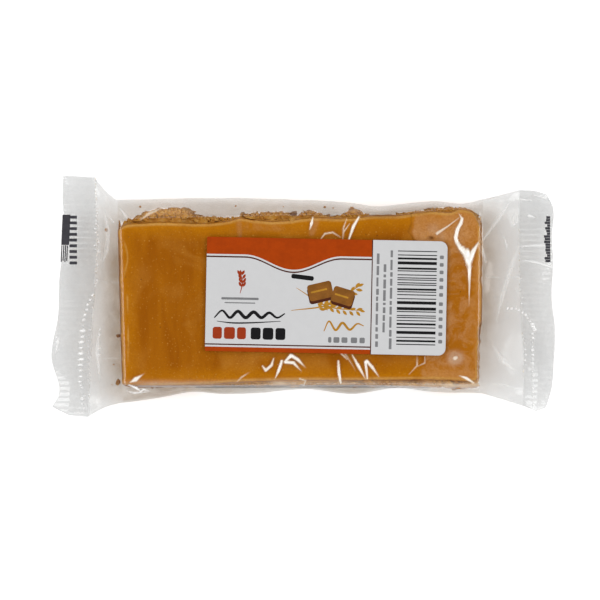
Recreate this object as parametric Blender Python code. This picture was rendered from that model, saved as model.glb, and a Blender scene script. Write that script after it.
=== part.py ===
"""A caramel-topped oat bar sealed in a clear flow-wrap pack, with a label on its front and one on its back.

The sealed pack is one closed solid. Along the bar the film is drawn over the bar's four long edges, and
slopes from each of them to a crease at mid-height on the near and the far side. Past each end of the bar it
draws down to a flat crimped fin at mid-height, wider than the pack is round the bar because the same length
of film now lies flat. Lengths are in metres. +X runs along the bar, +Y across it, +Z up through the caramel,
and the origin is at the centre of the pack's footprint, on the surface it lies on.
"""

import math

import bmesh
import bpy
import numpy as np

MM = 0.001

# The film round the bar. The skews are those of its left end and its right end
BACK_Z = 0.45 * MM
FRONT_Z = 16.0 * MM
CREASE_Z = 7.0 * MM
CREASE_HALF_HEIGHT = 1.5 * MM
CREASE_ROUNDING = 1.6 * MM
EDGE_ROUNDING = 2.6 * MM
BAR_LEFT = -55.2 * MM
BAR_RIGHT = 53.8 * MM
END_SKEWS = (-0.028, 0.012)
END_ROUNDING = 2.4 * MM
END_RING_SHARES = (0.0, 0.15, 0.45, 1.0)

# The bar's long edges that the film is drawn over, as (x, y) in millimetres
FRONT_FAR_EDGE = ((-55.2, 23.6), (-30.0, 24.2), (0.0, 24.8), (20.0, 25.2),
                  (35.0, 26.0), (47.0, 26.7), (53.8, 26.0))
FRONT_NEAR_EDGE = ((-55.2, -27.4), (-30.0, -27.2), (0.0, -26.6), (53.8, -26.8))
BACK_FAR_EDGE = ((-55.2, 22.8), (53.8, 24.2))
BACK_NEAR_EDGE = ((-55.2, -26.2), (53.8, -26.4))

# The near and far creases of the film along the bar, as (x, y) in millimetres
FAR_SIDE = ((-54.9, 29.0), (-50.0, 29.1), (-40.0, 29.4), (0.0, 29.0), (16.0, 28.0),
            (22.0, 27.1), (29.0, 27.8), (40.0, 28.7), (48.0, 28.0), (54.0, 29.3))
NEAR_SIDE = ((-54.9, -31.9), (-43.0, -30.3), (-33.6, -28.7), (-25.0, -29.3), (-11.0, -28.7),
             (0.0, -27.8), (15.0, -29.3), (29.4, -27.5), (38.0, -28.6), (54.0, -29.0))

# The crimped fins, each by three lines across the pack as (x, y) from the near side to the far side:
# the cut edge, the middle of the crimp and the inner end of the crimp
FIN_THICKNESS = 0.8 * MM
FIN_EDGE_TAPER = 8.0
LEFT_CUT = ((-75.5, -33.2), (-73.6, -30.0), (-75.7, -18.0), (-73.7, -5.5), (-73.4, 5.0),
            (-71.6, 20.0), (-72.3, 29.0), (-72.2, 36.3))
LEFT_MIDDLE = ((-70.4, -35.7), (-69.6, -18.0), (-68.4, 4.0), (-67.2, 22.0), (-67.4, 36.1))
LEFT_CRIMP = ((-64.6, -36.2), (-64.0, -20.0), (-63.0, 0.0), (-62.0, 20.0), (-62.6, 35.8))
RIGHT_CUT = ((73.0, -33.3), (74.6, -28.0), (75.4, -20.0), (75.7, -9.6), (74.7, -1.0),
             (75.1, 10.4), (74.8, 18.0), (75.0, 27.4), (73.2, 30.8))
RIGHT_MIDDLE = ((70.0, -34.5), (70.7, -20.0), (70.4, 0.0), (70.0, 20.0), (69.4, 31.9))
RIGHT_CRIMP = ((66.2, -32.9), (66.2, -15.0), (65.3, 0.0), (65.0, 15.0), (65.0, 32.0))

# How the stiff fins wave up and down, as (rise, waves across the pack, phase)
LEFT_WAVE = (1.5 * MM, 1.2, 0.3)
RIGHT_WAVE = (1.6 * MM, 1.5, 2.2)
CUT_DROOP = 1.8 * MM

# The labels
LABEL_GAP = 0.3 * MM
LABEL_LENGTH = 72.0 * MM
LABEL_WIDTH = 34.2 * MM
LABEL_THICKNESS = 0.2 * MM
LABEL_CORNER = 2.2 * MM
CORNER_STEPS = 6
FRONT_LABEL_AT = (6.9 * MM, 0.1 * MM)
FRONT_LABEL_TURN = math.radians(-1.15)

# The back label lies flat under the bar, and its near margin curls up with the film
BACK_LABEL_THICKNESS = 0.15 * MM
BACK_LABEL_MIDDLE_X = 3.6 * MM
BACK_LABEL_FAR_Y = 6.0 * MM
BACK_LABEL_SETTLING = 0.05 * MM
BACK_LABEL_COLUMNS = 14
BACK_LABEL_ROWS = 22

# How finely the pack is divided
POINTS_ACROSS = 32
FIN_RINGS = 3
FLAP_RINGS = 6
BAR_RINGS = 26
CORNER_WEIGHT = 7.0 * MM
ROUNDING_STEPS = 12
PROFILE_SAMPLES = 400

# What counts as caramel or oat, seen through the film of the bar
CARAMEL_FROM_Z = 12.5 * MM


def clear_scene():
    """Removes whatever the scene holds."""
    for obj in list(bpy.data.objects):
        bpy.data.objects.remove(obj, do_unlink=True)


def surface(name, colour, roughness, alpha=1.0):
    """A material with one Principled shader."""
    material = bpy.data.materials.new(name)
    material.use_nodes = True
    shader = material.node_tree.nodes["Principled BSDF"]
    shader.inputs["Base Color"].default_value = (*colour, 1.0)
    shader.inputs["Roughness"].default_value = roughness
    shader.inputs["Metallic"].default_value = 0.0
    shader.inputs["Alpha"].default_value = alpha
    return material


def smooth(stations, values, at):
    """Reads a smooth curve through the values given at rising stations."""
    stations = np.asarray(stations, float)
    values = np.asarray(values, float)
    slopes = np.gradient(values, stations)
    at = np.clip(at, stations[0], stations[-1])
    index = np.clip(np.searchsorted(stations, at, side="right") - 1, 0, len(stations) - 2)
    span = stations[index + 1] - stations[index]
    t = (at - stations[index]) / span
    start = (1 + 2 * t) * (1 - t) ** 2 * values[index] + t * (1 - t) ** 2 * span * slopes[index]
    end = t * t * (3 - 2 * t) * values[index + 1] + t * t * (t - 1) * span * slopes[index + 1]
    return start + end


def side_at(outline, x):
    """How far out the film's side stands at x, from its outline in millimetres."""
    points = np.array(outline) * MM
    return smooth(points[:, 0], points[:, 1], x)


def line_across(points, shares):
    """Points at shares of the way along a smooth line across the pack, as arrays of x and y."""
    points = np.array(points) * MM
    steps = np.hypot(*np.diff(points, axis=0).T)
    stations = np.concatenate([[0.0], np.cumsum(steps)]) / steps.sum()
    return smooth(stations, points[:, 0], shares), smooth(stations, points[:, 1], shares)


def rounded_path(corners, radii):
    """A path through corners with its inner corners rounded, as dense arrays of y and z."""
    corners = [np.array(corner) for corner in corners]
    path = [corners[0]]
    for before, corner, after, radius in zip(corners, corners[1:], corners[2:], radii):
        back, on = before - corner, after - corner
        reach = min(radius, 0.45 * np.hypot(*back), 0.45 * np.hypot(*on))
        start, stop = corner + reach * back / np.hypot(*back), corner + reach * on / np.hypot(*on)
        for t in np.linspace(0.0, 1.0, ROUNDING_STEPS):
            path.append((1 - t) ** 2 * start + 2 * t * (1 - t) * corner + t * t * stop)
    path = np.array([*path, corners[-1]])
    travelled = np.concatenate([[0.0], np.cumsum(np.hypot(*np.diff(path, axis=0).T))])
    evenly = np.linspace(0.0, travelled[-1], PROFILE_SAMPLES)
    return np.interp(evenly, travelled, path[:, 0]), np.interp(evenly, travelled, path[:, 1])


def ply_profile(x, near_edge, far_edge, up, level):
    """One ply of film at x, from the near crease over two of the bar's edges to the far crease."""
    near, far = side_at(NEAR_SIDE, x), side_at(FAR_SIDE, x)
    turn_z = CREASE_Z + up * CREASE_HALF_HEIGHT
    corners = (
        (near, CREASE_Z),
        (near, turn_z),
        (side_at(near_edge, x), level),
        (side_at(far_edge, x), level),
        (far, turn_z),
        (far, CREASE_Z),
    )
    return rounded_path(corners, (CREASE_ROUNDING, EDGE_ROUNDING, EDGE_ROUNDING, CREASE_ROUNDING))


def upper_profile(x, lowered=0.0):
    """The film over the bar at x, as dense arrays of y and z."""
    return ply_profile(x, FRONT_NEAR_EDGE, FRONT_FAR_EDGE, 1, FRONT_Z - lowered)


def lower_profile(x, raised=0.0):
    """The film under the bar at x, as dense arrays of y and z."""
    return ply_profile(x, BACK_NEAR_EDGE, BACK_FAR_EDGE, -1, BACK_Z + raised)


def shares_across():
    """Shares of the way over the pack at which every ring has its points, closer together at the corners."""
    y, z = upper_profile(0.0)
    dy, dz = np.diff(y), np.diff(z)
    length = np.hypot(dy, dz)
    turn = np.abs(np.diff(np.unwrap(np.arctan2(dz, dy)), prepend=math.pi / 2))
    cost = np.cumsum(length + turn / (math.pi / 2) * CORNER_WEIGHT)
    wanted = np.linspace(0.0, cost[-1], POINTS_ACROSS + 1)
    travelled = np.concatenate([[0.0], np.cumsum(length)])
    return np.interp(wanted, np.concatenate([[0.0], cost]), travelled) / travelled[-1]


def at_shares(y, z, shares):
    """Reads a dense profile at shares of its length."""
    length = np.concatenate([[0.0], np.cumsum(np.hypot(np.diff(y), np.diff(z)))])
    wanted = shares * length[-1]
    return np.interp(wanted, length, y), np.interp(wanted, length, z)


def bar_ring(x, shares, lowered=0.0):
    """The upper and lower film round the bar at x, each as an array of points across."""
    plies = []
    for y, z in (upper_profile(x, lowered), lower_profile(x, lowered)):
        y, z = at_shares(y, z, shares)
        skew = np.interp(x, (BAR_LEFT, BAR_RIGHT), END_SKEWS)
        plies.append(np.column_stack([x + skew * y, y, z]))
    return plies


def fin_ring(line, wave, droop, shares):
    """The two plies of a fin along one line across the pack."""
    x, y = line_across(line, shares)
    rise, waves, phase = wave
    middle = CREASE_Z - droop + rise * np.sin(2 * math.pi * waves * shares + phase)
    half = FIN_THICKNESS / 2 * np.clip(np.sin(math.pi * shares) * FIN_EDGE_TAPER, 0.0, 1.0)
    return [np.column_stack([x, y, middle + half]), np.column_stack([x, y, middle - half])]


def between(first, last, share):
    """The ring at a share of the way from one ring to another."""
    return [a + (b - a) * share for a, b in zip(first, last)]


def fin(cut, middle, crimp, wave, shares):
    """The rings of one crimped fin, from its cut edge to the inner end of its crimp."""
    droops = (CUT_DROOP, CUT_DROOP / 2, 0.0)
    lines = [fin_ring(line, wave, droop, shares) for line, droop in zip((cut, middle, crimp), droops)]
    rings = []
    for first, last in zip(lines, lines[1:]):
        rings += [between(first, last, k / FIN_RINGS) for k in range(FIN_RINGS)]
    return rings + [lines[-1]]


def end_of_bar(x_end, inwards, shares):
    """The rings that round the film over one end of the bar, from the end inwards."""
    rings = []
    for share in END_RING_SHARES:
        inset = share * END_ROUNDING
        lowered = END_ROUNDING - math.sqrt(END_ROUNDING**2 - (END_ROUNDING - inset) ** 2)
        rings.append(bar_ring(x_end + inwards * inset, shares, lowered))
    return rings


def pack_rings():
    """All the rings of the sealed pack, from its left cut edge to its right one."""
    shares = shares_across()
    left_fin = fin(LEFT_CUT, LEFT_MIDDLE, LEFT_CRIMP, LEFT_WAVE, shares)
    right_fin = fin(RIGHT_CUT, RIGHT_MIDDLE, RIGHT_CRIMP, RIGHT_WAVE, shares)
    left_end = end_of_bar(BAR_LEFT, 1, shares)
    right_end = end_of_bar(BAR_RIGHT, -1, shares)
    steps = [k / FLAP_RINGS for k in range(1, FLAP_RINGS)]
    left_flap = [between(left_fin[-1], left_end[0], share) for share in steps]
    right_flap = [between(right_fin[-1], right_end[0], share) for share in steps]
    inner = np.linspace(BAR_LEFT + END_ROUNDING, BAR_RIGHT - END_ROUNDING, BAR_RINGS)[1:-1]
    along = [bar_ring(x, shares) for x in inner]
    return left_fin + left_flap + left_end + along + (right_fin + right_flap + right_end)[::-1]


def seen_through_film(face):
    """Which of the pack's materials shows at a face: 0 for film alone, 1 for caramel, 2 for oats."""
    centre = face.calc_center_median()
    if not BAR_LEFT < centre.x < BAR_RIGHT:
        return 0
    return 1 if centre.z > CARAMEL_FROM_Z else 2


def build_pack(film, caramel, oats):
    """The sealed pack as one closed solid."""
    mesh = bmesh.new()
    loops = []
    for upper, lower in pack_rings():
        over = [mesh.verts.new(point) for point in upper]
        under = [over[0], *(mesh.verts.new(point) for point in lower[1:-1]), over[-1]]
        loops.append((over, under))
    for (over, under), (next_over, next_under) in zip(loops, loops[1:]):
        for k in range(POINTS_ACROSS):
            mesh.faces.new((over[k], next_over[k], next_over[k + 1], over[k + 1]))
            mesh.faces.new((under[k + 1], next_under[k + 1], next_under[k], under[k]))
    for over, under in (loops[0], loops[-1]):
        for k in range(POINTS_ACROSS):
            corners = list(dict.fromkeys((over[k], over[k + 1], under[k + 1], under[k])))
            mesh.faces.new(corners)
    bmesh.ops.recalc_face_normals(mesh, faces=mesh.faces)
    for face in mesh.faces:
        face.material_index = seen_through_film(face)
    return finish_object("film_pack", mesh, (film, caramel, oats))


def rounded_rectangle(length, width, radius):
    """The corners of a rectangle with round corners, anticlockwise."""
    points = []
    for quarter in range(4):
        centre_x = (length / 2 - radius) * (1 if quarter in (0, 3) else -1)
        centre_y = (width / 2 - radius) * (1 if quarter in (0, 1) else -1)
        for step in range(CORNER_STEPS + 1):
            angle = math.pi / 2 * (quarter + step / CORNER_STEPS)
            points.append((centre_x + radius * math.cos(angle), centre_y + radius * math.sin(angle)))
    return points


def build_front_label(paper):
    """The printed label on the caramel side, as a flat sheet with round corners."""
    mesh = bmesh.new()
    outline = rounded_rectangle(LABEL_LENGTH, LABEL_WIDTH, LABEL_CORNER)
    face = mesh.faces.new([mesh.verts.new((x, y, 0.0)) for x, y in outline])
    grown = bmesh.ops.extrude_face_region(mesh, geom=[face])
    raised = [item for item in grown["geom"] if isinstance(item, bmesh.types.BMVert)]
    bmesh.ops.translate(mesh, verts=raised, vec=(0.0, 0.0, LABEL_THICKNESS))
    bmesh.ops.recalc_face_normals(mesh, faces=mesh.faces)
    label = finish_object("front_label", mesh, (paper,))
    label.location = (*FRONT_LABEL_AT, FRONT_Z + LABEL_GAP)
    label.rotation_euler.z = FRONT_LABEL_TURN
    return label


def back_label_column(x, trim):
    """The upper and lower points of the back label at x, from its near edge to its far one."""
    y, z = lower_profile(x)
    dy, dz = np.gradient(y), np.gradient(z)
    out = np.column_stack([dz, -dy]) / np.hypot(dy, dz)[:, None]
    travelled = np.concatenate([[0.0], np.cumsum(np.hypot(np.diff(y), np.diff(z)))])
    far_edge = np.interp(BACK_LABEL_FAR_Y, y, travelled)
    wanted = far_edge - np.linspace(LABEL_WIDTH - trim, trim, BACK_LABEL_ROWS)
    faces = []
    for away in (LABEL_GAP, LABEL_GAP + BACK_LABEL_THICKNESS):
        at_y = np.interp(wanted, travelled, y + away * out[:, 0])
        at_z = np.interp(wanted, travelled, z + away * out[:, 1]) - BACK_LABEL_SETTLING
        lowest = LABEL_GAP + BACK_LABEL_THICKNESS - away
        faces.append([(x, py, max(pz, lowest)) for py, pz in zip(at_y, at_z)])
    return faces


def build_back_label(paper):
    """The label on the underside, as a thin sheet with round corners that follows the film."""
    corner = [LABEL_CORNER * (1 - math.cos(math.pi / 2 * k / CORNER_STEPS)) for k in range(CORNER_STEPS)]
    straight = np.linspace(LABEL_CORNER, LABEL_LENGTH - LABEL_CORNER, BACK_LABEL_COLUMNS)
    along = [*corner, *straight, *(LABEL_LENGTH - inset for inset in reversed(corner))]
    mesh = bmesh.new()
    columns = []
    for place in along:
        inset = min(place, LABEL_LENGTH - place, LABEL_CORNER)
        trim = LABEL_CORNER - math.sqrt(LABEL_CORNER**2 - (LABEL_CORNER - inset) ** 2)
        upper, lower = back_label_column(BACK_LABEL_MIDDLE_X - LABEL_LENGTH / 2 + place, trim)
        columns.append([mesh.verts.new(point) for point in (*upper, *reversed(lower))])
    for column, following in zip(columns, columns[1:]):
        for k in range(len(column)):
            mesh.faces.new((column[k], column[k - 1], following[k - 1], following[k]))
    for end in (columns[0], columns[-1]):
        for k in range(BACK_LABEL_ROWS - 1):
            mesh.faces.new((end[k], end[k + 1], end[-2 - k], end[-1 - k]))
    bmesh.ops.recalc_face_normals(mesh, faces=mesh.faces)
    return finish_object("back_label", mesh, (paper,))


def finish_object(name, mesh, materials):
    """Turns a bmesh into a named object with its materials, smooth where it's round."""
    data = bpy.data.meshes.new(name)
    mesh.to_mesh(data)
    mesh.free()
    for material in materials:
        data.materials.append(material)
    data.shade_smooth()
    data.set_sharp_from_angle(angle=math.radians(35))
    obj = bpy.data.objects.new(name, data)
    bpy.context.scene.collection.objects.link(obj)
    return obj


def main():
    """Builds the pack and its two labels."""
    clear_scene()
    film = surface("clear_film", (0.70, 0.70, 0.69), 0.12, alpha=0.45)
    caramel = surface("caramel_under_film", (0.40, 0.14, 0.012), 0.22)
    oats = surface("oats_under_film", (0.42, 0.22, 0.07), 0.45)
    paper = surface("label_paper", (0.80, 0.80, 0.79), 0.35)
    build_pack(film, caramel, oats)
    build_front_label(paper)
    build_back_label(paper)


if __name__ == "__main__":
    main()
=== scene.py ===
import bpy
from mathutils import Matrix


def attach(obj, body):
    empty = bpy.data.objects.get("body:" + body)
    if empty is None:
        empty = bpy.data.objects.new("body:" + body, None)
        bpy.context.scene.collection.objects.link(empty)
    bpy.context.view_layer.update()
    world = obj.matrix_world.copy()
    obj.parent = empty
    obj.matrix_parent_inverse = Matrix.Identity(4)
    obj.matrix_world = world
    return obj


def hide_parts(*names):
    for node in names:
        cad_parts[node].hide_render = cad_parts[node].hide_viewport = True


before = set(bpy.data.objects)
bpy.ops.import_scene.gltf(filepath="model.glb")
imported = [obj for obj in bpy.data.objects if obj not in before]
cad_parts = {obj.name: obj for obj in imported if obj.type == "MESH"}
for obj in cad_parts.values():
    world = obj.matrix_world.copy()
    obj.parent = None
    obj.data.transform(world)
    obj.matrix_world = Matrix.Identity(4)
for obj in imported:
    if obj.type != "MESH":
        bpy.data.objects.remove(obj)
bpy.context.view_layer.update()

# A caramel-topped oat bar in a clear crimped pack. Sizes are in millimetres, and in metres only where the
# studio says so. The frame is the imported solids' own: +X along the bar, +Y across it, +Z up through the
# caramel. A Line is a row of points, mostly a value at each place along or across the pack.

import itertools
import logging
import math
from dataclasses import dataclass
from enum import Enum

import bmesh
import bpy
import numpy as np
from mathutils import Euler, Matrix, Vector
from mathutils.geometry import delaunay_2d_cdt

MM = 0.001
SHARP_CREASE = 0.2
LOG = logging.getLogger("oat_bar")
Colour = tuple[float, float, float]
Line = tuple[tuple[float, float], ...]


class End(Enum):
    """The two ends of the pack, each with the direction that its fin points in along X."""

    LEFT = -1
    RIGHT = 1


class Grain:
    """Smooth repeatable noise that can be read at any points.

    Its lattice has SIZE points a side and is read a little off them (OFFSET). Each finer copy is read
    further along (SHIFT), and the sum of the copies is brought back to about 1 (TOTAL).
    """

    SIZE = 32
    OFFSET = 0.37
    SHIFT = 7.3
    TOTAL = 1.6

    def __init__(self, seed: int) -> None:
        """Fills the lattice.

        Args:
            seed: Which noise this is.
        """
        self.lattice = np.random.default_rng(seed).uniform(-1.0, 1.0, (self.SIZE,) * 3)

    def at(self, points: np.ndarray, size: float) -> np.ndarray:
        """Reads the noise.

        Args:
            points: Points in millimetres, two or three numbers each.
            size: How far apart the lattice stands, in millimetres.

        Returns:
            A value from -1 to 1 for each point.
        """
        points = np.asarray(points, float)
        if points.shape[-1] == 2:
            points = np.concatenate([points, np.zeros(points.shape[:-1] + (1,))], axis=-1)
        cell = points / size + self.OFFSET
        base = np.floor(cell).astype(int)
        share = cell - base
        share = share * share * (3 - 2 * share)
        total = np.zeros(points.shape[:-1])
        for corner in itertools.product((0, 1), repeat=3):
            weight = np.prod(np.where(np.array(corner) == 1, share, 1 - share), axis=-1)
            where = (base + np.array(corner)) % self.SIZE
            total += weight * self.lattice[where[..., 0], where[..., 1], where[..., 2]]
        return total

    def rough(self, points: np.ndarray, size: float, octaves: int) -> np.ndarray:
        """Adds finer and fainter copies of the noise.

        Args:
            points: Points in millimetres.
            size: Size of the coarsest copy, in millimetres.
            octaves: How many copies there are.

        Returns:
            A value for each point, mostly from -1 to 1.
        """
        points = np.asarray(points)
        copies = (self.at(points + self.SHIFT * k, size / 2**k) / 2**k for k in range(octaves))
        return sum(copies) / self.TOTAL


def smooth(stations: np.ndarray, values: np.ndarray, at: np.ndarray) -> np.ndarray:
    """Reads a smooth curve through values given at rising stations.

    Args:
        stations: Where the values are given.
        values: The values there.
        at: Where the curve is read.

    Returns:
        The curve's value at each place.
    """
    stations = np.asarray(stations, float)
    values = np.asarray(values, float)
    slopes = np.gradient(values, stations)
    at = np.clip(at, stations[0], stations[-1])
    index = np.clip(np.searchsorted(stations, at, side="right") - 1, 0, len(stations) - 2)
    span = stations[index + 1] - stations[index]
    t = (at - stations[index]) / span
    start = (1 + 2 * t) * (1 - t) ** 2 * values[index] + t * (1 - t) ** 2 * span * slopes[index]
    end = t * t * (3 - 2 * t) * values[index + 1] + t * t * (t - 1) * span * slopes[index + 1]
    return start + end


def curve(line: Line, at: np.ndarray | float) -> np.ndarray:
    """Reads a smooth curve through a line's points.

    Args:
        line: The points, with rising first numbers.
        at: Where it is read, as first numbers.

    Returns:
        The second number at each of those places.
    """
    stations, values = np.array(line).T
    return smooth(stations, values, at)


def straight(line: Line, at: np.ndarray, outside: float | None = None) -> np.ndarray:
    """Reads straight steps between a line's points.

    Args:
        line: The points, with rising first numbers.
        at: Where it is read, as first numbers.
        outside: What it gives beyond the line's ends, if not the value of the end itself.

    Returns:
        The second number at each of those places.
    """
    stations, values = np.array(line).T
    return np.interp(at, stations, values, left=outside, right=outside)


def travelled(x: np.ndarray, y: np.ndarray) -> np.ndarray:
    """How far along a path each of its points lies."""
    return np.concatenate([[0.0], np.cumsum(np.hypot(np.diff(x), np.diff(y)))])


def turned(points: np.ndarray, degrees: float) -> np.ndarray:
    """Turns flat points about the origin, from x towards y."""
    c, s = math.cos(math.radians(degrees)), math.sin(math.radians(degrees))
    return points @ np.array([[c, s], [-s, c]])


def read_table(table: np.ndarray, row: np.ndarray, column: np.ndarray) -> np.ndarray:
    """Reads a table at places between its entries.

    Args:
        table: The table.
        row: The row of each place, with a fraction.
        column: The column of each place, with a fraction.

    Returns:
        The value at each place.
    """
    row = np.clip(row, 0, table.shape[0] - 1.001)
    column = np.clip(column, 0, table.shape[1] - 1.001)
    r, c = row.astype(int), column.astype(int)
    a, b = row - r, column - c
    return (table[r, c] * (1 - a) * (1 - b) + table[r + 1, c] * a * (1 - b) + table[r, c + 1] * (1 - a) * b
            + table[r + 1, c + 1] * a * b)


def ease(value: np.ndarray) -> np.ndarray:
    """Turns a value from 0 to 1 into one that starts and stops gently."""
    value = np.clip(value, 0.0, 1.0)
    return value * value * (3 - 2 * value)


def spread(stretches: tuple[tuple[float, float, float], ...]) -> np.ndarray:
    """Lays out points with a different spacing in each stretch.

    Args:
        stretches: For each stretch its start, its end and the spacing in it.

    Returns:
        The points' places, rising, with no point twice.
    """
    places = [np.linspace(a, b, max(2, round((b - a) / step) + 1))[:-1] for a, b, step in stretches]
    return np.append(np.concatenate(places), stretches[-1][1])


def mesh_piece(name: str, points: np.ndarray, faces: list, material: bpy.types.Material) -> bpy.types.Object:
    """Makes a smooth object from points and faces.

    Args:
        name: The piece's name.
        points: Its points in millimetres.
        faces: Its faces, as indices of points.
        material: Its finish.

    Returns:
        The new object.
    """
    data = bpy.data.meshes.new(name)
    data.from_pydata((np.asarray(points) * MM).tolist(), [], [tuple(map(int, face)) for face in faces])
    data.materials.append(material)
    data.shade_smooth()
    data.update()
    piece = bpy.data.objects.new(name, data)
    bpy.context.scene.collection.objects.link(piece)
    return piece


def keep_value(piece: bpy.types.Object, name: str, values: np.ndarray) -> None:
    """Stores a number for each point of a piece, for its finish to read.

    Args:
        piece: The piece.
        name: What the finish calls the number.
        values: The numbers.
    """
    store = piece.data.attributes.new(name, "FLOAT", "POINT")
    store.data.foreach_set("value", np.asarray(values, np.float32).ravel())


def grid_faces(rows: int, columns: int, first: int = 0, closed: bool = False) -> np.ndarray:
    """Lists the faces of a grid of points.

    Args:
        rows: How many rows of points there are.
        columns: How many points a row has.
        first: The index of the grid's first point.
        closed: Whether each row comes back to its start.

    Returns:
        Four indices for each face.
    """
    row, column = np.meshgrid(np.arange(rows - 1), np.arange(columns if closed else columns - 1),
                              indexing="ij")
    across = (column + 1) % columns
    corners = [row * columns + column, (row + 1) * columns + column, (row + 1) * columns + across,
               row * columns + across]
    return first + np.stack(corners, axis=-1).reshape(-1, 4)


def grid_rim(rows: int, columns: int) -> np.ndarray:
    """Lists the points round a grid's rim, from its first point along its first row.

    Args:
        rows: How many rows of points there are.
        columns: How many points a row has.

    Returns:
        Their indices.
    """
    index = np.arange(rows * columns).reshape(rows, columns)
    return np.concatenate([index[0], index[1:, -1], index[-1, -2::-1], index[-2:0:-1, 0]])


def settle(piece: bpy.types.Object, node: str) -> bpy.types.Object:
    """Ties a piece to the pack's body and hides the solid that it stands for.

    Args:
        piece: The piece.
        node: The solid that it stands for.

    Returns:
        The same piece.
    """
    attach(piece, "root")
    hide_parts(node)
    piece.data.calc_loop_triangles()
    LOG.info("%s: %d triangles", piece.name, len(piece.data.loop_triangles))
    return piece


class Bench:
    """A node material under construction."""

    def __init__(self, name: str) -> None:
        """Starts an empty material.

        Args:
            name: The material's name.
        """
        self.material = bpy.data.materials.new(name)
        self.material.use_nodes = True
        self.tree = self.material.node_tree
        self.tree.nodes.clear()
        self.output = self.tree.nodes.new("ShaderNodeOutputMaterial")
        self.place = self.tree.nodes.new("ShaderNodeTexCoord").outputs["Object"]

    def node(self, kind: str, settings: dict | None = None, **inputs: object) -> bpy.types.Node:
        """Adds a node.

        Args:
            kind: The node's type.
            settings: Its own properties.
            **inputs: Its input values or links, with _ for a space in a name.

        Returns:
            The node.
        """
        node = self.tree.nodes.new(kind)
        for key, value in (settings or {}).items():
            setattr(node, key, value)
        for key, value in inputs.items():
            self.put(node.inputs[key.replace("_", " ")], value)
        return node

    def put(self, socket: bpy.types.NodeSocket, value: object) -> None:
        """Links a socket, or sets its value.

        Args:
            socket: The socket of a node.
            value: A link, a colour without its fourth number, or a plain value.
        """
        if isinstance(value, bpy.types.NodeSocket):
            self.tree.links.new(value, socket)
        elif isinstance(value, tuple) and socket.type == "RGBA":
            socket.default_value = (*value, 1.0)
        else:
            socket.default_value = value

    def stretched(self, along: float, across: float, up: float) -> bpy.types.NodeSocket:
        """Squeezes the pattern along each axis.

        Args:
            along: How much it is squeezed along the pack.
            across: How much it is squeezed across the pack.
            up: How much it is squeezed upwards.

        Returns:
            The place on the piece, to read a noise at.
        """
        node = self.node("ShaderNodeMapping", None, Vector=self.place)
        node.inputs["Scale"].default_value = (along, across, up)
        return node.outputs["Vector"]

    def noise(self, size: float, detail: float = 3.0, roughness: float = 0.55, twist: float = 0.0,
              place: bpy.types.NodeSocket | None = None) -> bpy.types.NodeSocket:
        """Adds a noise.

        Args:
            size: The size of its blotches in millimetres.
            detail: How many finer copies it has.
            roughness: How strong those are.
            twist: How far it is distorted.
            place: Where it is read, or the object's own place.

        Returns:
            Its value, from 0 to 1.
        """
        node = self.node("ShaderNodeTexNoise", None, Vector=place or self.place, Scale=1.0 / (size * MM),
                         Detail=detail, Roughness=roughness, Distortion=twist)
        return node.outputs["Fac"]

    def cells(self, size: float, feature: str = "F1") -> bpy.types.NodeSocket:
        """Adds a pattern of scattered points.

        Args:
            size: About how far apart they lie, in millimetres.
            feature: Which distance is read.

        Returns:
            The distance to the nearest of them.
        """
        node = self.node("ShaderNodeTexVoronoi", {"feature": feature}, Vector=self.place,
                         Scale=1.0 / (size * MM))
        return node.outputs["Distance"]

    def stored(self, name: str) -> bpy.types.NodeSocket:
        """A number that the piece's points carry."""
        return self.node("ShaderNodeAttribute", {"attribute_name": name}).outputs["Fac"]

    def span(self, value: bpy.types.NodeSocket, low: float, high: float, to_low: float = 0.0,
             to_high: float = 1.0) -> bpy.types.NodeSocket:
        """Stretches a value to another range.

        Args:
            value: The value.
            low: What becomes to_low.
            high: What becomes to_high.
            to_low: The new range's start.
            to_high: The new range's end.

        Returns:
            The stretched value, kept inside the new range.
        """
        node = self.node("ShaderNodeMapRange", {"clamp": True}, Value=value, From_Min=low, From_Max=high,
                         To_Min=to_low, To_Max=to_high)
        return node.outputs["Result"]

    def sums(self, operation: str, first: object, second: object) -> bpy.types.NodeSocket:
        """Does one sum on two numbers.

        Args:
            operation: Which sum.
            first: The first number.
            second: The second number.

        Returns:
            The result.
        """
        node = self.node("ShaderNodeMath", {"operation": operation})
        self.put(node.inputs[0], first)
        self.put(node.inputs[1], second)
        return node.outputs["Value"]

    def blend(self, share: object, first: object, second: object, kind: str = "MIX") -> bpy.types.NodeSocket:
        """Mixes two colours.

        Args:
            share: How much of the second there is.
            first: The first colour.
            second: The second colour.
            kind: How they are mixed.

        Returns:
            The mixed colour.
        """
        node = self.node("ShaderNodeMix", {"data_type": "RGBA", "blend_type": kind, "clamp_factor": True})
        self.put(node.inputs[0], share)
        self.put(node.inputs[6], first)
        self.put(node.inputs[7], second)
        return node.outputs[2]

    def bump(self, height: object, depth: float, strength: float = 1.0,
             under: bpy.types.NodeSocket | None = None) -> bpy.types.NodeSocket:
        """Turns a height into a shading normal.

        Args:
            height: The height, from 0 to 1.
            depth: How deep 1 is, in millimetres.
            strength: How much of it shows.
            under: A normal that this one adds to.

        Returns:
            The normal.
        """
        node = self.node("ShaderNodeBump", None, Height=height, Distance=depth * MM, Strength=strength)
        if under is not None:
            self.put(node.inputs["Normal"], under)
        return node.outputs["Normal"]

    def layer(self, share: object, under: bpy.types.NodeSocket,
              over: bpy.types.NodeSocket) -> bpy.types.NodeSocket:
        """Lays one surface over another.

        Args:
            share: How much of the upper one shows.
            under: The lower surface.
            over: The upper surface.

        Returns:
            The layered surface.
        """
        node = self.node("ShaderNodeMixShader", None, Fac=share)
        self.put(node.inputs[1], under)
        self.put(node.inputs[2], over)
        return node.outputs[0]

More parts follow.
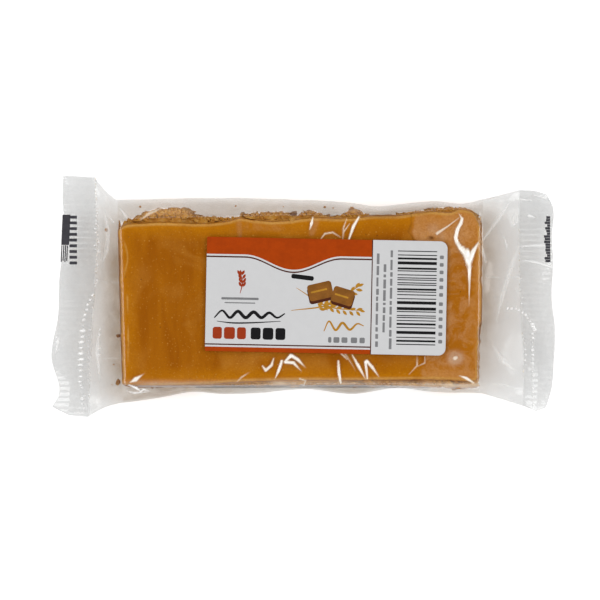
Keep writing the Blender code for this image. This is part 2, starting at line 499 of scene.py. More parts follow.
    def solid(self, colour: bpy.types.NodeSocket, normal: bpy.types.NodeSocket, roughness: float,
              shine: float) -> bpy.types.Material:
        """Gives the material a plain solid surface.

        Args:
            colour: Its colour.
            normal: Its shading normal.
            roughness: How dull it is.
            shine: How much light its face throws back.

        Returns:
            The material.
        """
        node = self.node("ShaderNodeBsdfPrincipled", None, Base_Color=colour, Roughness=roughness,
                         Normal=normal, Specular_IOR_Level=shine)
        return self.done(node.outputs[0])

    def done(self, surface: bpy.types.NodeSocket) -> bpy.types.Material:
        """Gives the material its surface and returns it."""
        self.put(self.output.inputs["Surface"], surface)
        return self.material


@dataclass(frozen=True)
class FilmFinish:
    """Clear glossy film, with a little frost where it is crimped.

    The film's points carry how grey it is past the bar (smoke), how much of the bar's warm shade is painted
    into its tint (shade) and how sharply it is creased (crease). Over the creases white is painted on as
    highlights, warm over the bar and whiter at their cores.
    """

    name: str = "clear_film"
    clear: Colour = (0.965, 0.965, 0.965)
    smoky: Colour = (0.856, 0.859, 0.858)
    shaded: Colour = (0.50, 0.41, 0.315)
    frost: float = 0.025
    shine: float = 0.035
    crease_shine: float = 0.07
    mirror_most: float = 0.35
    highlight_share: float = 0.96
    glare: Colour = (1.0, 0.89, 0.71)
    highlight_white: Colour = (0.98, 0.98, 0.97)
    roughness: float = 0.06
    crinkle: float = 0.02
    slant_power: float = 5.0
    cold_power: float = 4.0
    cold_share: float = 0.7
    frost_colour: Colour = (0.86, 0.86, 0.85)

    def make(self) -> bpy.types.Material:
        """Builds the material.

        Returns:
            The film.
        """
        bench = Bench(self.name)
        smoke, crease = bench.stored("smoke"), bench.stored("crease")
        under = bench.bump(bench.noise(5.0, 2.0, 0.5, 0.6), self.crinkle * 4.0)
        normal = bench.bump(bench.noise(1.1, 3.0, 0.6), self.crinkle, 1.0, under)
        facing = bench.node("ShaderNodeLayerWeight", None, Blend=0.5, Normal=normal).outputs["Facing"]
        slant = bench.sums("POWER", facing, self.slant_power)
        mirror = bench.span(slant, 0.0, 1.0, self.shine, self.mirror_most)
        shiny = bench.sums("MAXIMUM", mirror, bench.sums("MULTIPLY", crease, self.crease_shine))
        gloss = bench.node("ShaderNodeBsdfGlossy", None, Color=(1.0, 1.0, 1.0), Roughness=self.roughness,
                           Normal=normal)
        # Painted shade: the bar's warm shade, patchy, multiplied into what the film lets through.
        cloudy = bench.span(bench.noise(6.0, 3.0, 0.5, 0.5), 0.3, 0.7, 0.7, 1.0)
        shade = bench.sums("MULTIPLY", bench.stored("shade"), cloudy)
        tint = bench.blend(shade, bench.blend(smoke, self.clear, self.smoky), self.shaded, "MULTIPLY")
        clear = bench.node("ShaderNodeBsdfTransparent", None, Color=tint)
        haze = bench.node("ShaderNodeBsdfDiffuse", None, Color=self.frost_colour)
        through = bench.node("ShaderNodeBsdfTranslucent", None, Color=self.frost_colour)
        milk = bench.layer(0.5, haze.outputs[0], through.outputs[0])
        patchy = bench.span(bench.noise(3.0, 4.0, 0.6), 0.3, 0.7, self.frost * 0.5, self.frost * 1.5)
        # Painted highlights: white laid over the creases, warm over the bar, whiter past it and at the cores.
        sharp = bench.sums("MULTIPLY", bench.sums("POWER", crease, self.cold_power), self.cold_share)
        highlight_colour = bench.blend(bench.sums("MAXIMUM", smoke, sharp), self.glare, self.highlight_white)
        painted_highlight = bench.node("ShaderNodeBsdfDiffuse", None, Color=highlight_colour)
        skin = bench.layer(bench.sums("MULTIPLY", patchy, smoke), clear.outputs[0], milk)
        skin = bench.layer(bench.sums("MULTIPLY", crease, self.highlight_share), skin, painted_highlight.outputs[0])
        return bench.done(bench.layer(shiny, skin, gloss.outputs[0]))


@dataclass(frozen=True)
class CaramelFinish:
    """Smooth waxy caramel: brown in the middle, yellower at its rim, paler and pinker where it is lumpy."""

    name: str = "waxy_caramel"
    middle: Colour = (0.415, 0.133, 0.0020)
    deep: Colour = (0.335, 0.095, 0.0004)
    rim: Colour = (0.550, 0.198, 0.0008)
    pale: Colour = (0.550, 0.240, 0.0350)
    rim_highlight: Colour = (0.720, 0.400, 0.1000)
    lumpy: Colour = (0.530, 0.242, 0.0780)
    ochre: Colour = (0.430, 0.142, 0.0050)
    rosy: Colour = (0.600, 0.300, 0.1100)
    pit: Colour = (0.120, 0.042, 0.006)
    roughness: float = 0.38
    shine: float = 0.07

    def make(self) -> bpy.types.Material:
        """Builds the material.

        Returns:
            The caramel.
        """
        bench = Bench(self.name)
        streaks = bench.noise(5.0, 3.0, 0.55, 0.4, bench.stretched(1.0, 0.22, 1.0))
        blotch = bench.noise(11.0, 3.0, 0.5, 0.8)
        grain = bench.noise(0.55, 3.0, 0.6)
        colour = bench.blend(bench.span(streaks, 0.38, 0.62), self.deep, self.middle)
        colour = bench.blend(bench.span(blotch, 0.45, 0.72, 0.0, 0.50), colour, self.pale)
        ruffle = bench.span(bench.noise(4.5, 4.0, 0.6, 1.2), 0.40, 0.60)
        ruffled = bench.blend(ruffle, self.ochre, self.lumpy)
        colour = bench.blend(bench.stored("lump"), colour, ruffled)
        rosy = bench.span(bench.noise(2.6, 4.0, 0.62, 0.9), 0.30, 0.62, 0.25, 1.0)
        colour = bench.blend(bench.sums("MULTIPLY", bench.stored("pinkish"), rosy), colour, self.rosy)
        uneven = bench.span(bench.noise(3.5, 3.0), 0.25, 0.6, 0.5, 1.0)
        colour = bench.blend(bench.sums("MULTIPLY", bench.stored("rim"), uneven), colour, self.rim)
        # Painted highlight: a pale line along the rim, also on the sides to lighten their shade.
        faint = bench.sums("MULTIPLY", bench.stored("rim_highlight"), uneven)
        colour = bench.blend(faint, colour, self.rim_highlight)
        colour = bench.blend(bench.span(grain, 0.3, 0.7, 0.45, 0.0), colour, self.deep)
        for size, reach, strength in ((2.1, 0.13, 0.70), (1.0, 0.22, 0.45)):
            dots = bench.span(bench.cells(size), 0.5 * reach, reach, strength, 0.0)
            colour = bench.blend(dots, colour, self.pale)
        # Painted shade: the pit colour darkens the pinholes, the pit and the foot of the pour's ridge.
        holes = bench.span(bench.cells(4.9), 0.02, 0.045, 0.65, 0.0)
        colour = bench.blend(holes, colour, self.pit)
        colour = bench.blend(bench.stored("pit"), colour, self.pit)
        height = bench.blend(0.5, bench.noise(0.9, 3.0, 0.6), bench.noise(3.0, 3.0, 0.55))
        normal = bench.bump(height, 0.22, 0.8)
        normal = bench.bump(bench.sums("MULTIPLY", holes, -1.0), 0.25, 0.8, normal)
        return bench.solid(colour, normal, self.roughness, self.shine)


@dataclass(frozen=True)
class OatFinish:
    """Baked oats in syrup: golden to brown, floury in places."""

    name: str = "baked_oats"
    golden: Colour = (0.660, 0.330, 0.044)
    toasted: Colour = (0.460, 0.180, 0.013)
    floury: Colour = (0.760, 0.490, 0.170)
    blotch_size: float = 2.6
    roughness: float = 0.62
    shine: float = 0.25

    def make(self) -> bpy.types.Material:
        """Builds the material.

        Returns:
            The oats.
        """
        bench = Bench(self.name)
        toast = bench.noise(self.blotch_size, 4.0, 0.6, 0.5)
        flour = bench.noise(self.blotch_size * 0.7, 3.0, 0.6)
        fibre = bench.noise(0.35, 3.0, 0.6)
        colour = bench.blend(bench.span(toast, 0.36, 0.62), self.toasted, self.golden)
        colour = bench.blend(bench.span(flour, 0.48, 0.70, 0.0, 0.8), colour, self.floury)
        colour = bench.blend(bench.span(fibre, 0.35, 0.65, 0.35, 0.0), colour, self.toasted)
        normal = bench.bump(bench.noise(0.5, 4.0, 0.65), 0.18, 0.8)
        return bench.solid(colour, normal, self.roughness, self.shine)


@dataclass(frozen=True)
class PrintFinish:
    """One printed colour on smooth label paper, with the faint mottle of a cheap press."""

    name: str
    colour: Colour
    roughness: float = 0.42
    mottle: float = 0.05
    shine: float = 0.12

    def make(self) -> bpy.types.Material:
        """Builds the material.

        Returns:
            The print.
        """
        bench = Bench(self.name)
        darker = tuple(value * (1.0 - 2.2 * self.mottle) for value in self.colour)
        patches = bench.blend(bench.span(bench.noise(2.2, 4.0, 0.6), 0.35, 0.65), self.colour, darker)
        grain = bench.blend(bench.span(bench.noise(0.25, 2.0), 0.4, 0.7, 0.0, 0.5), patches, darker)
        normal = bench.bump(bench.noise(0.3, 3.0, 0.6), 0.02, 0.5)
        return bench.solid(grain, normal, self.roughness, self.shine)


@dataclass(frozen=True)
class FloorFinish:
    """A plain pale studio floor, a little lit from within so that it stays pale in the shade."""

    name: str = "pale_floor"
    colour: Colour = (0.93, 0.93, 0.93)
    paler: Colour = (0.95, 0.95, 0.95)
    roughness: float = 0.9
    glow: float = 0.34

    def make(self) -> bpy.types.Material:
        """Builds the material.

        Returns:
            The floor.
        """
        bench = Bench(self.name)
        tone = bench.blend(bench.span(bench.noise(400.0, 2.0), 0.3, 0.7), self.colour, self.paler)
        shader = bench.node("ShaderNodeBsdfPrincipled", None, Base_Color=tone, Roughness=self.roughness,
                            Specular_IOR_Level=0.0, Emission_Color=(1.0, 1.0, 1.0),
                            Emission_Strength=self.glow)
        return bench.done(shader.outputs[0])


@dataclass(frozen=True)
class PackForm:
    """The form of the sealed pack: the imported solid's, with tighter roundings at the bar's edges and ends.

    The film lies over the bar at front_z and under it at back_z, and both plies meet beside the bar in a
    crease at crease_z. The edges are the lines that the film turns down at, and the sides those that it
    meets at. The bar's ends lean by end_skews, and its right end steps in by a notch.
    """

    back_z: float = 0.45
    front_z: float = 16.0
    crease_z: float = 7.0
    crease_half_height: float = 1.5
    crease_rounding: float = 1.6
    edge_rounding: float = 1.0
    bar_left: float = -55.2
    bar_right: float = 53.8
    end_skews: tuple[float, float] = (-0.028, 0.012)
    end_rounding: float = 1.8
    notch_depth: float = 0.8
    notch_start: float = -6.8
    notch_run: float = 3.0
    arc_points: int = 12
    wall_stations: int = 90
    wall_levels: int = 80
    front_far_edge: Line = ((-55.2, 23.6), (-30.0, 24.2), (0.0, 24.8), (20.0, 25.2), (35.0, 26.0),
                            (47.0, 26.7), (53.8, 26.0))
    front_near_edge: Line = ((-55.2, -27.4), (-30.0, -27.2), (0.0, -26.6), (53.8, -26.8))
    back_far_edge: Line = ((-55.2, 22.8), (53.8, 24.2))
    back_near_edge: Line = ((-55.2, -26.2), (53.8, -26.4))
    far_side: Line = ((-54.9, 29.0), (-50.0, 29.1), (-40.0, 29.4), (0.0, 29.0), (16.0, 28.0),
                      (22.0, 27.1), (29.0, 27.8), (40.0, 28.7), (48.0, 28.0), (54.0, 29.3))
    near_side: Line = ((-54.9, -31.9), (-43.0, -30.3), (-33.6, -28.7), (-25.0, -29.3), (-11.0, -28.7),
                       (0.0, -27.8), (15.0, -29.3), (29.4, -27.5), (38.0, -28.6), (54.0, -29.0))

    def end_drop(self, inset: np.ndarray) -> np.ndarray:
        """How far the film over the bar has come down at each distance from the bar's end."""
        return 0.5 * np.clip(self.end_rounding - inset, 0.0, self.end_rounding) ** 2 / self.end_rounding

    def side(self, outline: Line, x: float) -> float:
        """How far out an outline stands at x."""
        return float(curve(outline, x))

    def rounded(self, corners: list, radii: tuple[float, ...]) -> tuple[np.ndarray, np.ndarray]:
        """Rounds the inner corners of a path across the pack.

        Args:
            corners: The path's corners, as y and z.
            radii: How far the rounding of each inner corner reaches.

        Returns:
            Dense arrays of y and z.
        """
        corners = [np.array(corner) for corner in corners]
        path = [corners[0]]
        for before, corner, after, radius in zip(corners, corners[1:], corners[2:], radii):
            back, on = before - corner, after - corner
            reach = min(radius, 0.45 * np.hypot(*back), 0.45 * np.hypot(*on))
            start, stop = corner + reach * back / np.hypot(*back), corner + reach * on / np.hypot(*on)
            for t in np.linspace(0.0, 1.0, self.arc_points):
                path.append((1 - t) ** 2 * start + 2 * t * (1 - t) * corner + t * t * stop)
        path = np.array([*path, corners[-1]])
        return path[:, 0], path[:, 1]

    def ply(self, x: float, up: int) -> tuple[np.ndarray, np.ndarray]:
        """One ply of film across the bar.

        Args:
            x: Where along the bar.
            up: 1 for the ply over the bar, -1 for the one under it.

        Returns:
            Dense arrays of y and z from the near crease to the far one.
        """
        near_edge, far_edge = ((self.back_near_edge, self.back_far_edge) if up < 0
                               else (self.front_near_edge, self.front_far_edge))
        drop = float(self.end_drop(np.array(min(x - self.bar_left, self.bar_right - x))))
        level = self.front_z - drop if up > 0 else self.back_z + drop
        near, far = self.side(self.near_side, x), self.side(self.far_side, x)
        turn_z = self.crease_z + up * self.crease_half_height
        corners = [(near, self.crease_z), (near, turn_z), (self.side(near_edge, x), level),
                   (self.side(far_edge, x), level), (far, turn_z), (far, self.crease_z)]
        radii = (self.crease_rounding, self.edge_rounding, self.edge_rounding, self.crease_rounding)
        return self.rounded(corners, radii)

    def skew(self, x: float, y: np.ndarray) -> np.ndarray:
        """Leans a cross-section at x with the bar's ends, and gives its true x for each y."""
        return x + np.interp(x, (self.bar_left, self.bar_right), self.end_skews) * y

    def upright(self, points: np.ndarray) -> np.ndarray:
        """Takes the lean of the bar's ends out of x.

        Args:
            points: Points in the pack's frame.

        Returns:
            For each point the x of the cross-section that it lies in.
        """
        lean = np.interp(points[..., 0], (self.bar_left, self.bar_right), self.end_skews)
        return points[..., 0] - lean * points[..., 1]

    def walls(self) -> tuple[np.ndarray, np.ndarray, np.ndarray, np.ndarray]:
        """Tables of how far the film stands out on the near and the far side.

        Returns:
            The tables' places along the pack and upwards, the near side's table and the far side's.
        """
        stations = np.linspace(self.bar_left, self.bar_right, self.wall_stations)
        levels = np.linspace(self.back_z, self.front_z, self.wall_levels)
        near, far = (np.zeros((len(stations), len(levels))) for _ in range(2))
        for row, x in enumerate(stations):
            over, under = self.ply(x, 1), self.ply(x, -1)
            y = np.concatenate([under[0][::-1], over[0]])
            z = np.concatenate([under[1][::-1], over[1]])
            half = len(under[0]) // 2
            nearby = slice(half, half + len(over[0]) // 2)
            near[row] = np.interp(levels, z[nearby], y[nearby])
            y, z = np.concatenate([under[0], over[0][::-1]]), np.concatenate([under[1], over[1][::-1]])
            far[row] = np.interp(levels, z[nearby], y[nearby])
        return stations, levels, near, far

    def notch(self, y: np.ndarray | float) -> np.ndarray:
        """How far the near half of the bar's right end steps in at each y."""
        return self.notch_depth * ease((self.notch_start - np.asarray(y, float)) / self.notch_run)

    def keep_inside(self, points: np.ndarray, margin: float) -> np.ndarray:
        """Presses points back to where the film leaves room.

        Args:
            points: Points in the pack's frame.
            margin: How far they stay from the film.

        Returns:
            The points, moved where they were outside.
        """
        stations, levels, near, far = self.walls()
        points = np.array(points, float)
        x = np.clip(self.upright(points), self.bar_left + margin, self.bar_right - margin)
        drop = self.end_drop(np.minimum(x - self.bar_left, self.bar_right - x))
        z = np.clip(points[..., 2], self.back_z + drop + margin, self.front_z - drop - margin)
        row = (x - stations[0]) / (stations[1] - stations[0])
        column = (z - levels[0]) / (levels[1] - levels[0])
        limits = [read_table(table, row, column) for table in (near, far)]
        y = np.clip(points[..., 1], limits[0] + margin, limits[1] - margin)
        lean = np.interp(x, (self.bar_left, self.bar_right), self.end_skews)
        return np.stack([x + lean * y, y, z], axis=-1)


@dataclass(frozen=True)
class Fold:
    """A crease that stands up from the film along a line of x and y.

    The flanks are how far the film slopes to the left and the right of the line's direction, and the scale
    is how large the fold is at each point of its line.
    """

    line: Line
    height: float
    left_flank: float
    right_flank: float
    scale: tuple[float, ...]

    def rise(self, x: np.ndarray, y: np.ndarray) -> np.ndarray:
        """How high the fold lifts the film.

        Args:
            x: Places along the pack.
            y: Places across it.

        Returns:
            The rise at each place, in millimetres.
        """
        best = np.zeros(x.shape)
        reach = max(self.left_flank, self.right_flank) * max(self.scale)
        pieces = zip(itertools.pairwise(self.line), itertools.pairwise(self.scale))
        for (start, stop), (first, last) in pieces:
            near = ((x > min(start[0], stop[0]) - reach) & (x < max(start[0], stop[0]) + reach)
                    & (y > min(start[1], stop[1]) - reach) & (y < max(start[1], stop[1]) + reach))
            dx, dy = stop[0] - start[0], stop[1] - start[1]
            px, py = x[near] - start[0], y[near] - start[1]
            along = np.clip((px * dx + py * dy) / (dx * dx + dy * dy), 0.0, 1.0)
            away = np.hypot(px - along * dx, py - along * dy)
            size = first + (last - first) * along
            flank = np.where(dx * py - dy * px > 0, self.left_flank, self.right_flank) * size
            best[near] = np.maximum(best[near], self.height * size * np.clip(1 - away / flank, 0.0, None))
        return best


@dataclass(frozen=True)
class DotRow:
    """A row of small blisters where the crimp's ridges end.

    Each is about as long and as wide as given, and is scattered a little round its place on the line.
    """

    line: Line
    count: int
    height: float
    long: float = 0.5
    wide: float = 0.36
    scatter: float = 0.15
    seed: int = 1

    def rise(self, x: np.ndarray, y: np.ndarray) -> np.ndarray:
        """How high the blisters lift the film.

        Args:
            x: Places along the pack.
            y: Places across it.

        Returns:
            The rise at each place, in millimetres.
        """
        dice = np.random.default_rng(self.seed)
        points = np.array(self.line)
        length = travelled(*points.T)
        total = np.zeros(x.shape)
        for place in np.linspace(0.0, length[-1], self.count):
            at_x = np.interp(place, length, points[:, 0]) + dice.normal(0.0, self.scatter)
            at_y = np.interp(place, length, points[:, 1]) + dice.normal(0.0, self.scatter * 0.6)
            size = dice.uniform(0.65, 1.15)
            near = (np.abs(x - at_x) < self.long * size) & (np.abs(y - at_y) < self.wide * size)
            away = ((x[near] - at_x) / (self.long * size)) ** 2 + ((y[near] - at_y) / (self.wide * size)) ** 2
            total[near] = np.maximum(total[near], self.height * size * np.clip(1 - away, 0.0, None))
        return total


def add_up(details: tuple[Fold | DotRow, ...], x: np.ndarray, y: np.ndarray) -> tuple[np.ndarray, np.ndarray]:
    """Adds up the folds and blisters of a piece of film.

    Args:
        details: The folds and rows of blisters.
        x: Places along the pack.
        y: Places across it.

    Returns:
        How far they lift the film at each place, and how sharply it is creased there, from 0 to 1, which
        sets how much highlight is painted on the film there.
    """
    lift, crease = np.zeros(x.shape), np.zeros(x.shape)
    for detail in details:
        rise = detail.rise(x, y)
        lift += rise
        sharpness = min(1.0, detail.height / SHARP_CREASE)
        crease = np.maximum(crease, sharpness * np.clip(1.8 * rise / detail.height, 0.0, 1.0) ** 2.1)
    return lift, crease


@dataclass(frozen=True)
class CrimpedFin:
    """One crimped end of the pack: two plies pressed together in fine ridges that run along the pack.

    The cut is its outer edge, the crimp its inner end, and the middle lies halfway. The wave is its rise, how
    many waves there are across and where they start. The ridges fade out at ridge_end.
    """

    end: End
    cut: Line
    middle: Line
    crimp: Line
    wave: tuple[float, float, float]
    ridge_end: Line
    dots: tuple[DotRow, ...]
    creases: tuple[Fold, ...]
    height: float = 7.0
    droop: float = 1.2
    thickness: float = 0.12
    pitch: float = 1.65
    ridge: float = 0.065
    ridge_fade: float = 0.9
    small_waves: float = 0.05
    large_waves: float = 0.16
    overlap: float = 0.03
    pinch: float = 0.0
    columns: int = 352
    rows: int = 46
    seed: int = 5

    def line_across(self, line: Line, shares: np.ndarray) -> tuple[np.ndarray, np.ndarray]:
        """Reads a smooth line across the pack.

        Args:
            line: The line's points.
            shares: How far along it, from 0 to 1.

        Returns:
            Arrays of x and y.
        """
        x, y = np.array(line).T
        length = travelled(x, y)
        return smooth(length / length[-1], x, shares), smooth(length / length[-1], y, shares)

    def bed(self, across: np.ndarray, along: np.ndarray) -> np.ndarray:
        """The fin's middle surface without its ridges.

        Args:
            across: Shares of the way across, from the near side.
            along: Shares of the way from the cut edge to the crimp's inner end.

        Returns:
            A point for each pair.
        """
        lines = [self.line_across(line, across) for line in (self.cut, self.middle, self.crimp)]
        rise, waves, phase = self.wave
        wave = rise * np.sin(2 * math.pi * waves * across + phase)
        weights = [np.interp(along, (0.0, 0.5, 1.0), peak) for peak in ((1, 0, 0), (0, 1, 0), (0, 0, 1))]
        beyond = np.clip(along - 1.0, 0.0, None)
        x = sum(weight * line[0] for weight, line in zip(weights, lines))
        x = x + beyond * 2 * (lines[2][0] - lines[1][0])
        y = sum(weight * line[1] for weight, line in zip(weights, lines))
        z = self.height + wave - self.droop * np.clip(1 - along, 0.0, 1.0) ** 1.3
        return np.stack([x, y, z], axis=-1)

    def relief(self, points: np.ndarray) -> np.ndarray:
        """How far the ridges, blisters and creases lift the fin.

        Args:
            points: Points of its bed.

        Returns:
            The lift at each point, in millimetres.
        """
        x, y = points[..., 0], points[..., 1]
        limit = np.array(self.ridge_end)
        inner = np.interp(y, limit[:, 1], limit[:, 0])
        outward = (x - inner) * self.end.value
        fade = outward / self.ridge_fade
        depth = 0.8 * ease(fade + 0.3) + 0.2 * ease(fade + 3.4)
        grain = Grain(self.seed)
        uneven = np.clip(0.75 + 0.6 * grain.at(points[..., :2], 7.0), 0.15, 1.3)
        ridges = self.ridge * uneven * depth * np.cos(2 * math.pi * y / self.pitch)
        soft = (self.small_waves * grain.at(points[..., :2], 4.0)
                + self.large_waves * grain.at(points[..., :2] + 40.0, 14.0))
        return ridges + soft * ease(outward / 6.0 + 0.3) + add_up((*self.dots, *self.creases), x, y)[0]

    def surface(self, across: np.ndarray, along: np.ndarray) -> np.ndarray:
        """The fin's middle surface, ridges and all.

        Args:
            across: Shares of the way across, from the near side.
            along: Shares of the way from the cut edge to the crimp's inner end.

        Returns:
            A point for each pair.
        """
        points = self.bed(across, along)
        points[..., 2] += self.relief(points)
        return points

    def build(self, material: bpy.types.Material) -> bpy.types.Object:
        """Builds the fin as one thin closed plate.

        Args:
            material: The film's finish.

        Returns:
            The fin.
        """
        across, along = np.meshgrid(np.linspace(0.0, 1.0, self.columns + 1),
                                    np.linspace(0.0, 1.0 + self.overlap, self.rows + 1))
        middle = self.surface(across, along)
        half = self.thickness / 2 * ease(np.minimum(across, 1 - across) * 120.0 + 0.1)
        upper, lower = middle.copy(), middle.copy()
        upper[..., 2] += half
        lower[..., 2] -= half
        rows = np.concatenate([upper, lower[:, ::-1]], axis=1)
        count = 2 * (self.columns + 1)
        faces = grid_faces(self.rows + 1, count, closed=True).tolist()
        for row, turn in ((0, 1), (self.rows, -1)):
            base = row * count
            for k in range(self.columns):
                faces.append([base + k, base + k + 1, base + count - 2 - k, base + count - 1 - k][::turn])
        piece = mesh_piece(f"{self.end.name.lower()}_fin", rows.reshape(-1, 3), faces, material)
        # The blisters and creases carry painted highlights, laid over them in white by the film's finish.
        crease = add_up((*self.dots, *self.creases), middle[..., 0], middle[..., 1])[1]
        smoke = 1.0 - ease((along - 1.0) / 0.01 + 0.5)
        for name, values in (("crease", crease), ("smoke", smoke)):
            keep_value(piece, name, np.concatenate([values, values[:, ::-1]], axis=1))
        return settle(piece, "film_pack")


@dataclass(frozen=True)
class FilmSleeve:
    """The clear film round the bar and the two tents of film that lead to the fins, as one bag.

    The four shade lines say how much of the bar's warm shade the film takes past each of its sides. The haze
    line says how much white is painted over the film along the bar's near edge, as a veil of light that also
    lightens the shade there; the hem is a fainter painted line of it beside the edge.
    """

    form: PackForm
    left: CrimpedFin
    right: CrimpedFin
    folds: tuple[Fold, ...]
    dots: tuple[DotRow, ...]
    food_near: Line
    food_far: Line
    seed: int = 11
    tent_rows: int = 28
    waviness: float = 0.05
    fine_pleats: float = 0.13
    wide_pleats: float = 0.20
    tent_bow: float = 0.35
    end_gap: float = 0.25
    near_gap: float = 0.1
    far_gap: float = -0.35
    haze_middle: float = 0.25
    haze_half: float = 0.95
    hem_strength: float = 0.26
    hem_middle: float = -0.5
    hem_half: float = 0.42
    left_shade: Line = ((-26.0, 0.75), (-10.0, 1.08), (12.0, 1.12), (20.0, 0.55), (30.0, 0.5))
    right_shade: Line = ((-26.0, 0.30), (-19.0, 0.40), (-10.0, 0.80), (10.0, 0.88), (22.0, 0.75))
    shade_reach: float = 4.8
    far_shade: Line = ((-55.0, 0.4), (-20.0, 0.54), (14.0, 0.54), (28.0, 0.80), (48.0, 0.80), (53.0, 0.5))
    near_shade: Line = ((-55.0, 0.6), (-45.0, 0.9), (-35.0, 1.15), (-22.0, 0.9), (-6.0, 0.6), (14.0, 1.0),
                        (30.0, 0.6), (53.0, 0.5))
    haze: Line = ((-55.0, 0.10), (-46.0, 0.28), (-38.0, 0.28), (-30.0, 0.16), (-14.0, 0.16), (-6.0, 0.48),
                  (2.0, 0.34), (8.0, 0.26), (16.0, 0.34), (24.0, 0.16), (34.0, 0.30), (46.0, 0.52),
                  (53.0, 0.50))

    def shares(self) -> np.ndarray:
        """How far along the upper ply each column of points stands, finer where folds show.

        Returns:
            Shares of the way across, from the near side.
        """
        stretches = ((0.0, 8.5, 0.47), (8.5, 18.5, 0.25), (18.5, 51.0, 0.56), (51.0, 61.5, 0.25),
                     (61.5, 69.5, 0.47))
        return spread(stretches) / stretches[-1][1]

    def stations(self) -> np.ndarray:
        """Where along the bar each row of points stands."""
        return spread(((-55.2, -53.4, 0.2), (-53.4, -45.0, 0.3), (-45.0, -15.0, 0.42), (-15.0, 36.0, 0.28),
                       (36.0, 52.0, 0.26), (52.0, 53.8, 0.2)))

    def at_shares(self, path: tuple[np.ndarray, np.ndarray], shares: np.ndarray) -> np.ndarray:
        """Reads a path at shares of its length.

        Args:
            path: Dense arrays of y and z.
            shares: Shares of its length, from 0 to 1.

        Returns:
            Points of y and z.
        """
        length = travelled(*path)
        wanted = shares * length[-1]
        return np.stack([np.interp(wanted, length, path[0]), np.interp(wanted, length, path[1])], axis=-1)

    def ply(self, up: int, shares: np.ndarray) -> np.ndarray:
        """One ply of the whole sleeve.

        Args:
            up: 1 for the ply over the bar, -1 for the one under it.
            shares: How far across each column stands.

        Returns:
            Rows of points from the left crimp to the right one.
        """
        rows = []
        for x in self.stations():
            across = self.at_shares(self.form.ply(x, up), shares)
            rows.append(np.column_stack([self.form.skew(x, across[:, 0]), across]))
        body = np.array(rows)
        tents = []
        for fin, first in ((self.left, body[0]), (self.right, body[-1])):
            foot = fin.surface(shares, np.ones(shares.shape))
            foot[:, 2] += up * fin.thickness / 2 * ease(np.minimum(shares, 1 - shares) * 120.0)
            steps = np.linspace(0.0, 1.0, self.tent_rows + 1)[:-1, None, None]
            arch = np.sin(math.pi * steps)
            bow = arch * np.sin(math.pi * shares)[None, :, None] * [0.0, 0.0, self.tent_bow * up]
            sides = np.sign(shares - 0.5) * np.abs(2 * shares - 1) ** 1.5
            pinch = arch * sides[None, :, None] * [0.0, fin.pinch, 0.0]
            tents.append(foot[None] + (first - foot)[None] * steps + bow - pinch)
        return np.concatenate([tents[0], body, tents[1][::-1]])

    def normals(self, points: np.ndarray) -> np.ndarray:
        """The upward normals of a grid of points.

        Args:
            points: Rows of points, which run along the pack.

        Returns:
            A normal of length 1 for each point.
        """
        normal = np.cross(np.gradient(points, axis=0), np.gradient(points, axis=1))
        return normal / np.maximum(np.linalg.norm(normal, axis=-1, keepdims=True), 1e-9)

    def relief(self, points: np.ndarray) -> np.ndarray:
        """How far folds and soft waves lift the upper ply.

        Args:
            points: The smooth ply.

        Returns:
            The lift along the normal at each point, in millimetres.
        """
        grain = Grain(self.seed)
        lift = self.waviness * grain.at(points, 9.0) + 0.5 * self.waviness * grain.at(points, 3.6)
        loose = ease((np.hypot(*self.away(points)) - 0.6) / 2.0)
        pleats = (self.fine_pleats * grain.rough(points * [0.3, 1.0, 0.3], 2.2, 2)
                  + self.wide_pleats * grain.at(points + 30.0, 5.0))
        return lift + loose * pleats + add_up((*self.folds, *self.dots), points[..., 0], points[..., 1])[0]

    def away(self, points: np.ndarray) -> tuple[np.ndarray, np.ndarray]:
        """How far out from the bar's top each point lies, seen from above.

        Args:
            points: Points of the sleeve.

        Returns:
            The distance past the bar's ends and the distance past its sides, each 0 over the bar.
        """
        x = self.form.upright(points)
        near, far = curve(self.food_near, x), curve(self.food_far, x)
        right = self.form.bar_right - self.form.notch(points[..., 1])
        out_x = np.maximum(self.form.bar_left - x, x - right) + self.end_gap
        out_y = np.maximum(near - points[..., 1] + self.near_gap, points[..., 1] - far + self.far_gap)
        return np.clip(out_x, 0.0, None), np.clip(out_y, 0.0, None)

    def shade(self, over: np.ndarray) -> np.ndarray:
        """How much of the bar's warm shade the upper ply shows at each point.

        Args:
            over: The points of the upper ply.

        Returns:
            Shares from 0 to 1.
        """
        x, y = self.form.upright(over), over[..., 1]
        past_end, past_side = self.away(over)
        end = [straight(line, y) for line in (self.left_shade, self.right_shade)]
        distance = np.hypot(past_end, np.clip(past_side - 1.0, 0.0, None))
        beside = np.where(x < 0.0, end[0], end[1]) * np.exp(-(distance / self.shade_reach) ** 2)
        near, far = curve(self.form.near_side, x), curve(self.form.far_side, x)
        edge = curve(self.food_near, x)
        behind = straight(self.far_shade, x) * ease((far - y + 0.6) / 3.2) * ease(past_side / 0.6)
        before = straight(self.near_shade, x) * ease((edge - y) / 0.7)
        fading = 0.35 + 0.65 * ease((y - near) / 0.8)
        return np.where(past_end > 0.0, beside, np.where(y > 0.0, behind, before * fading))

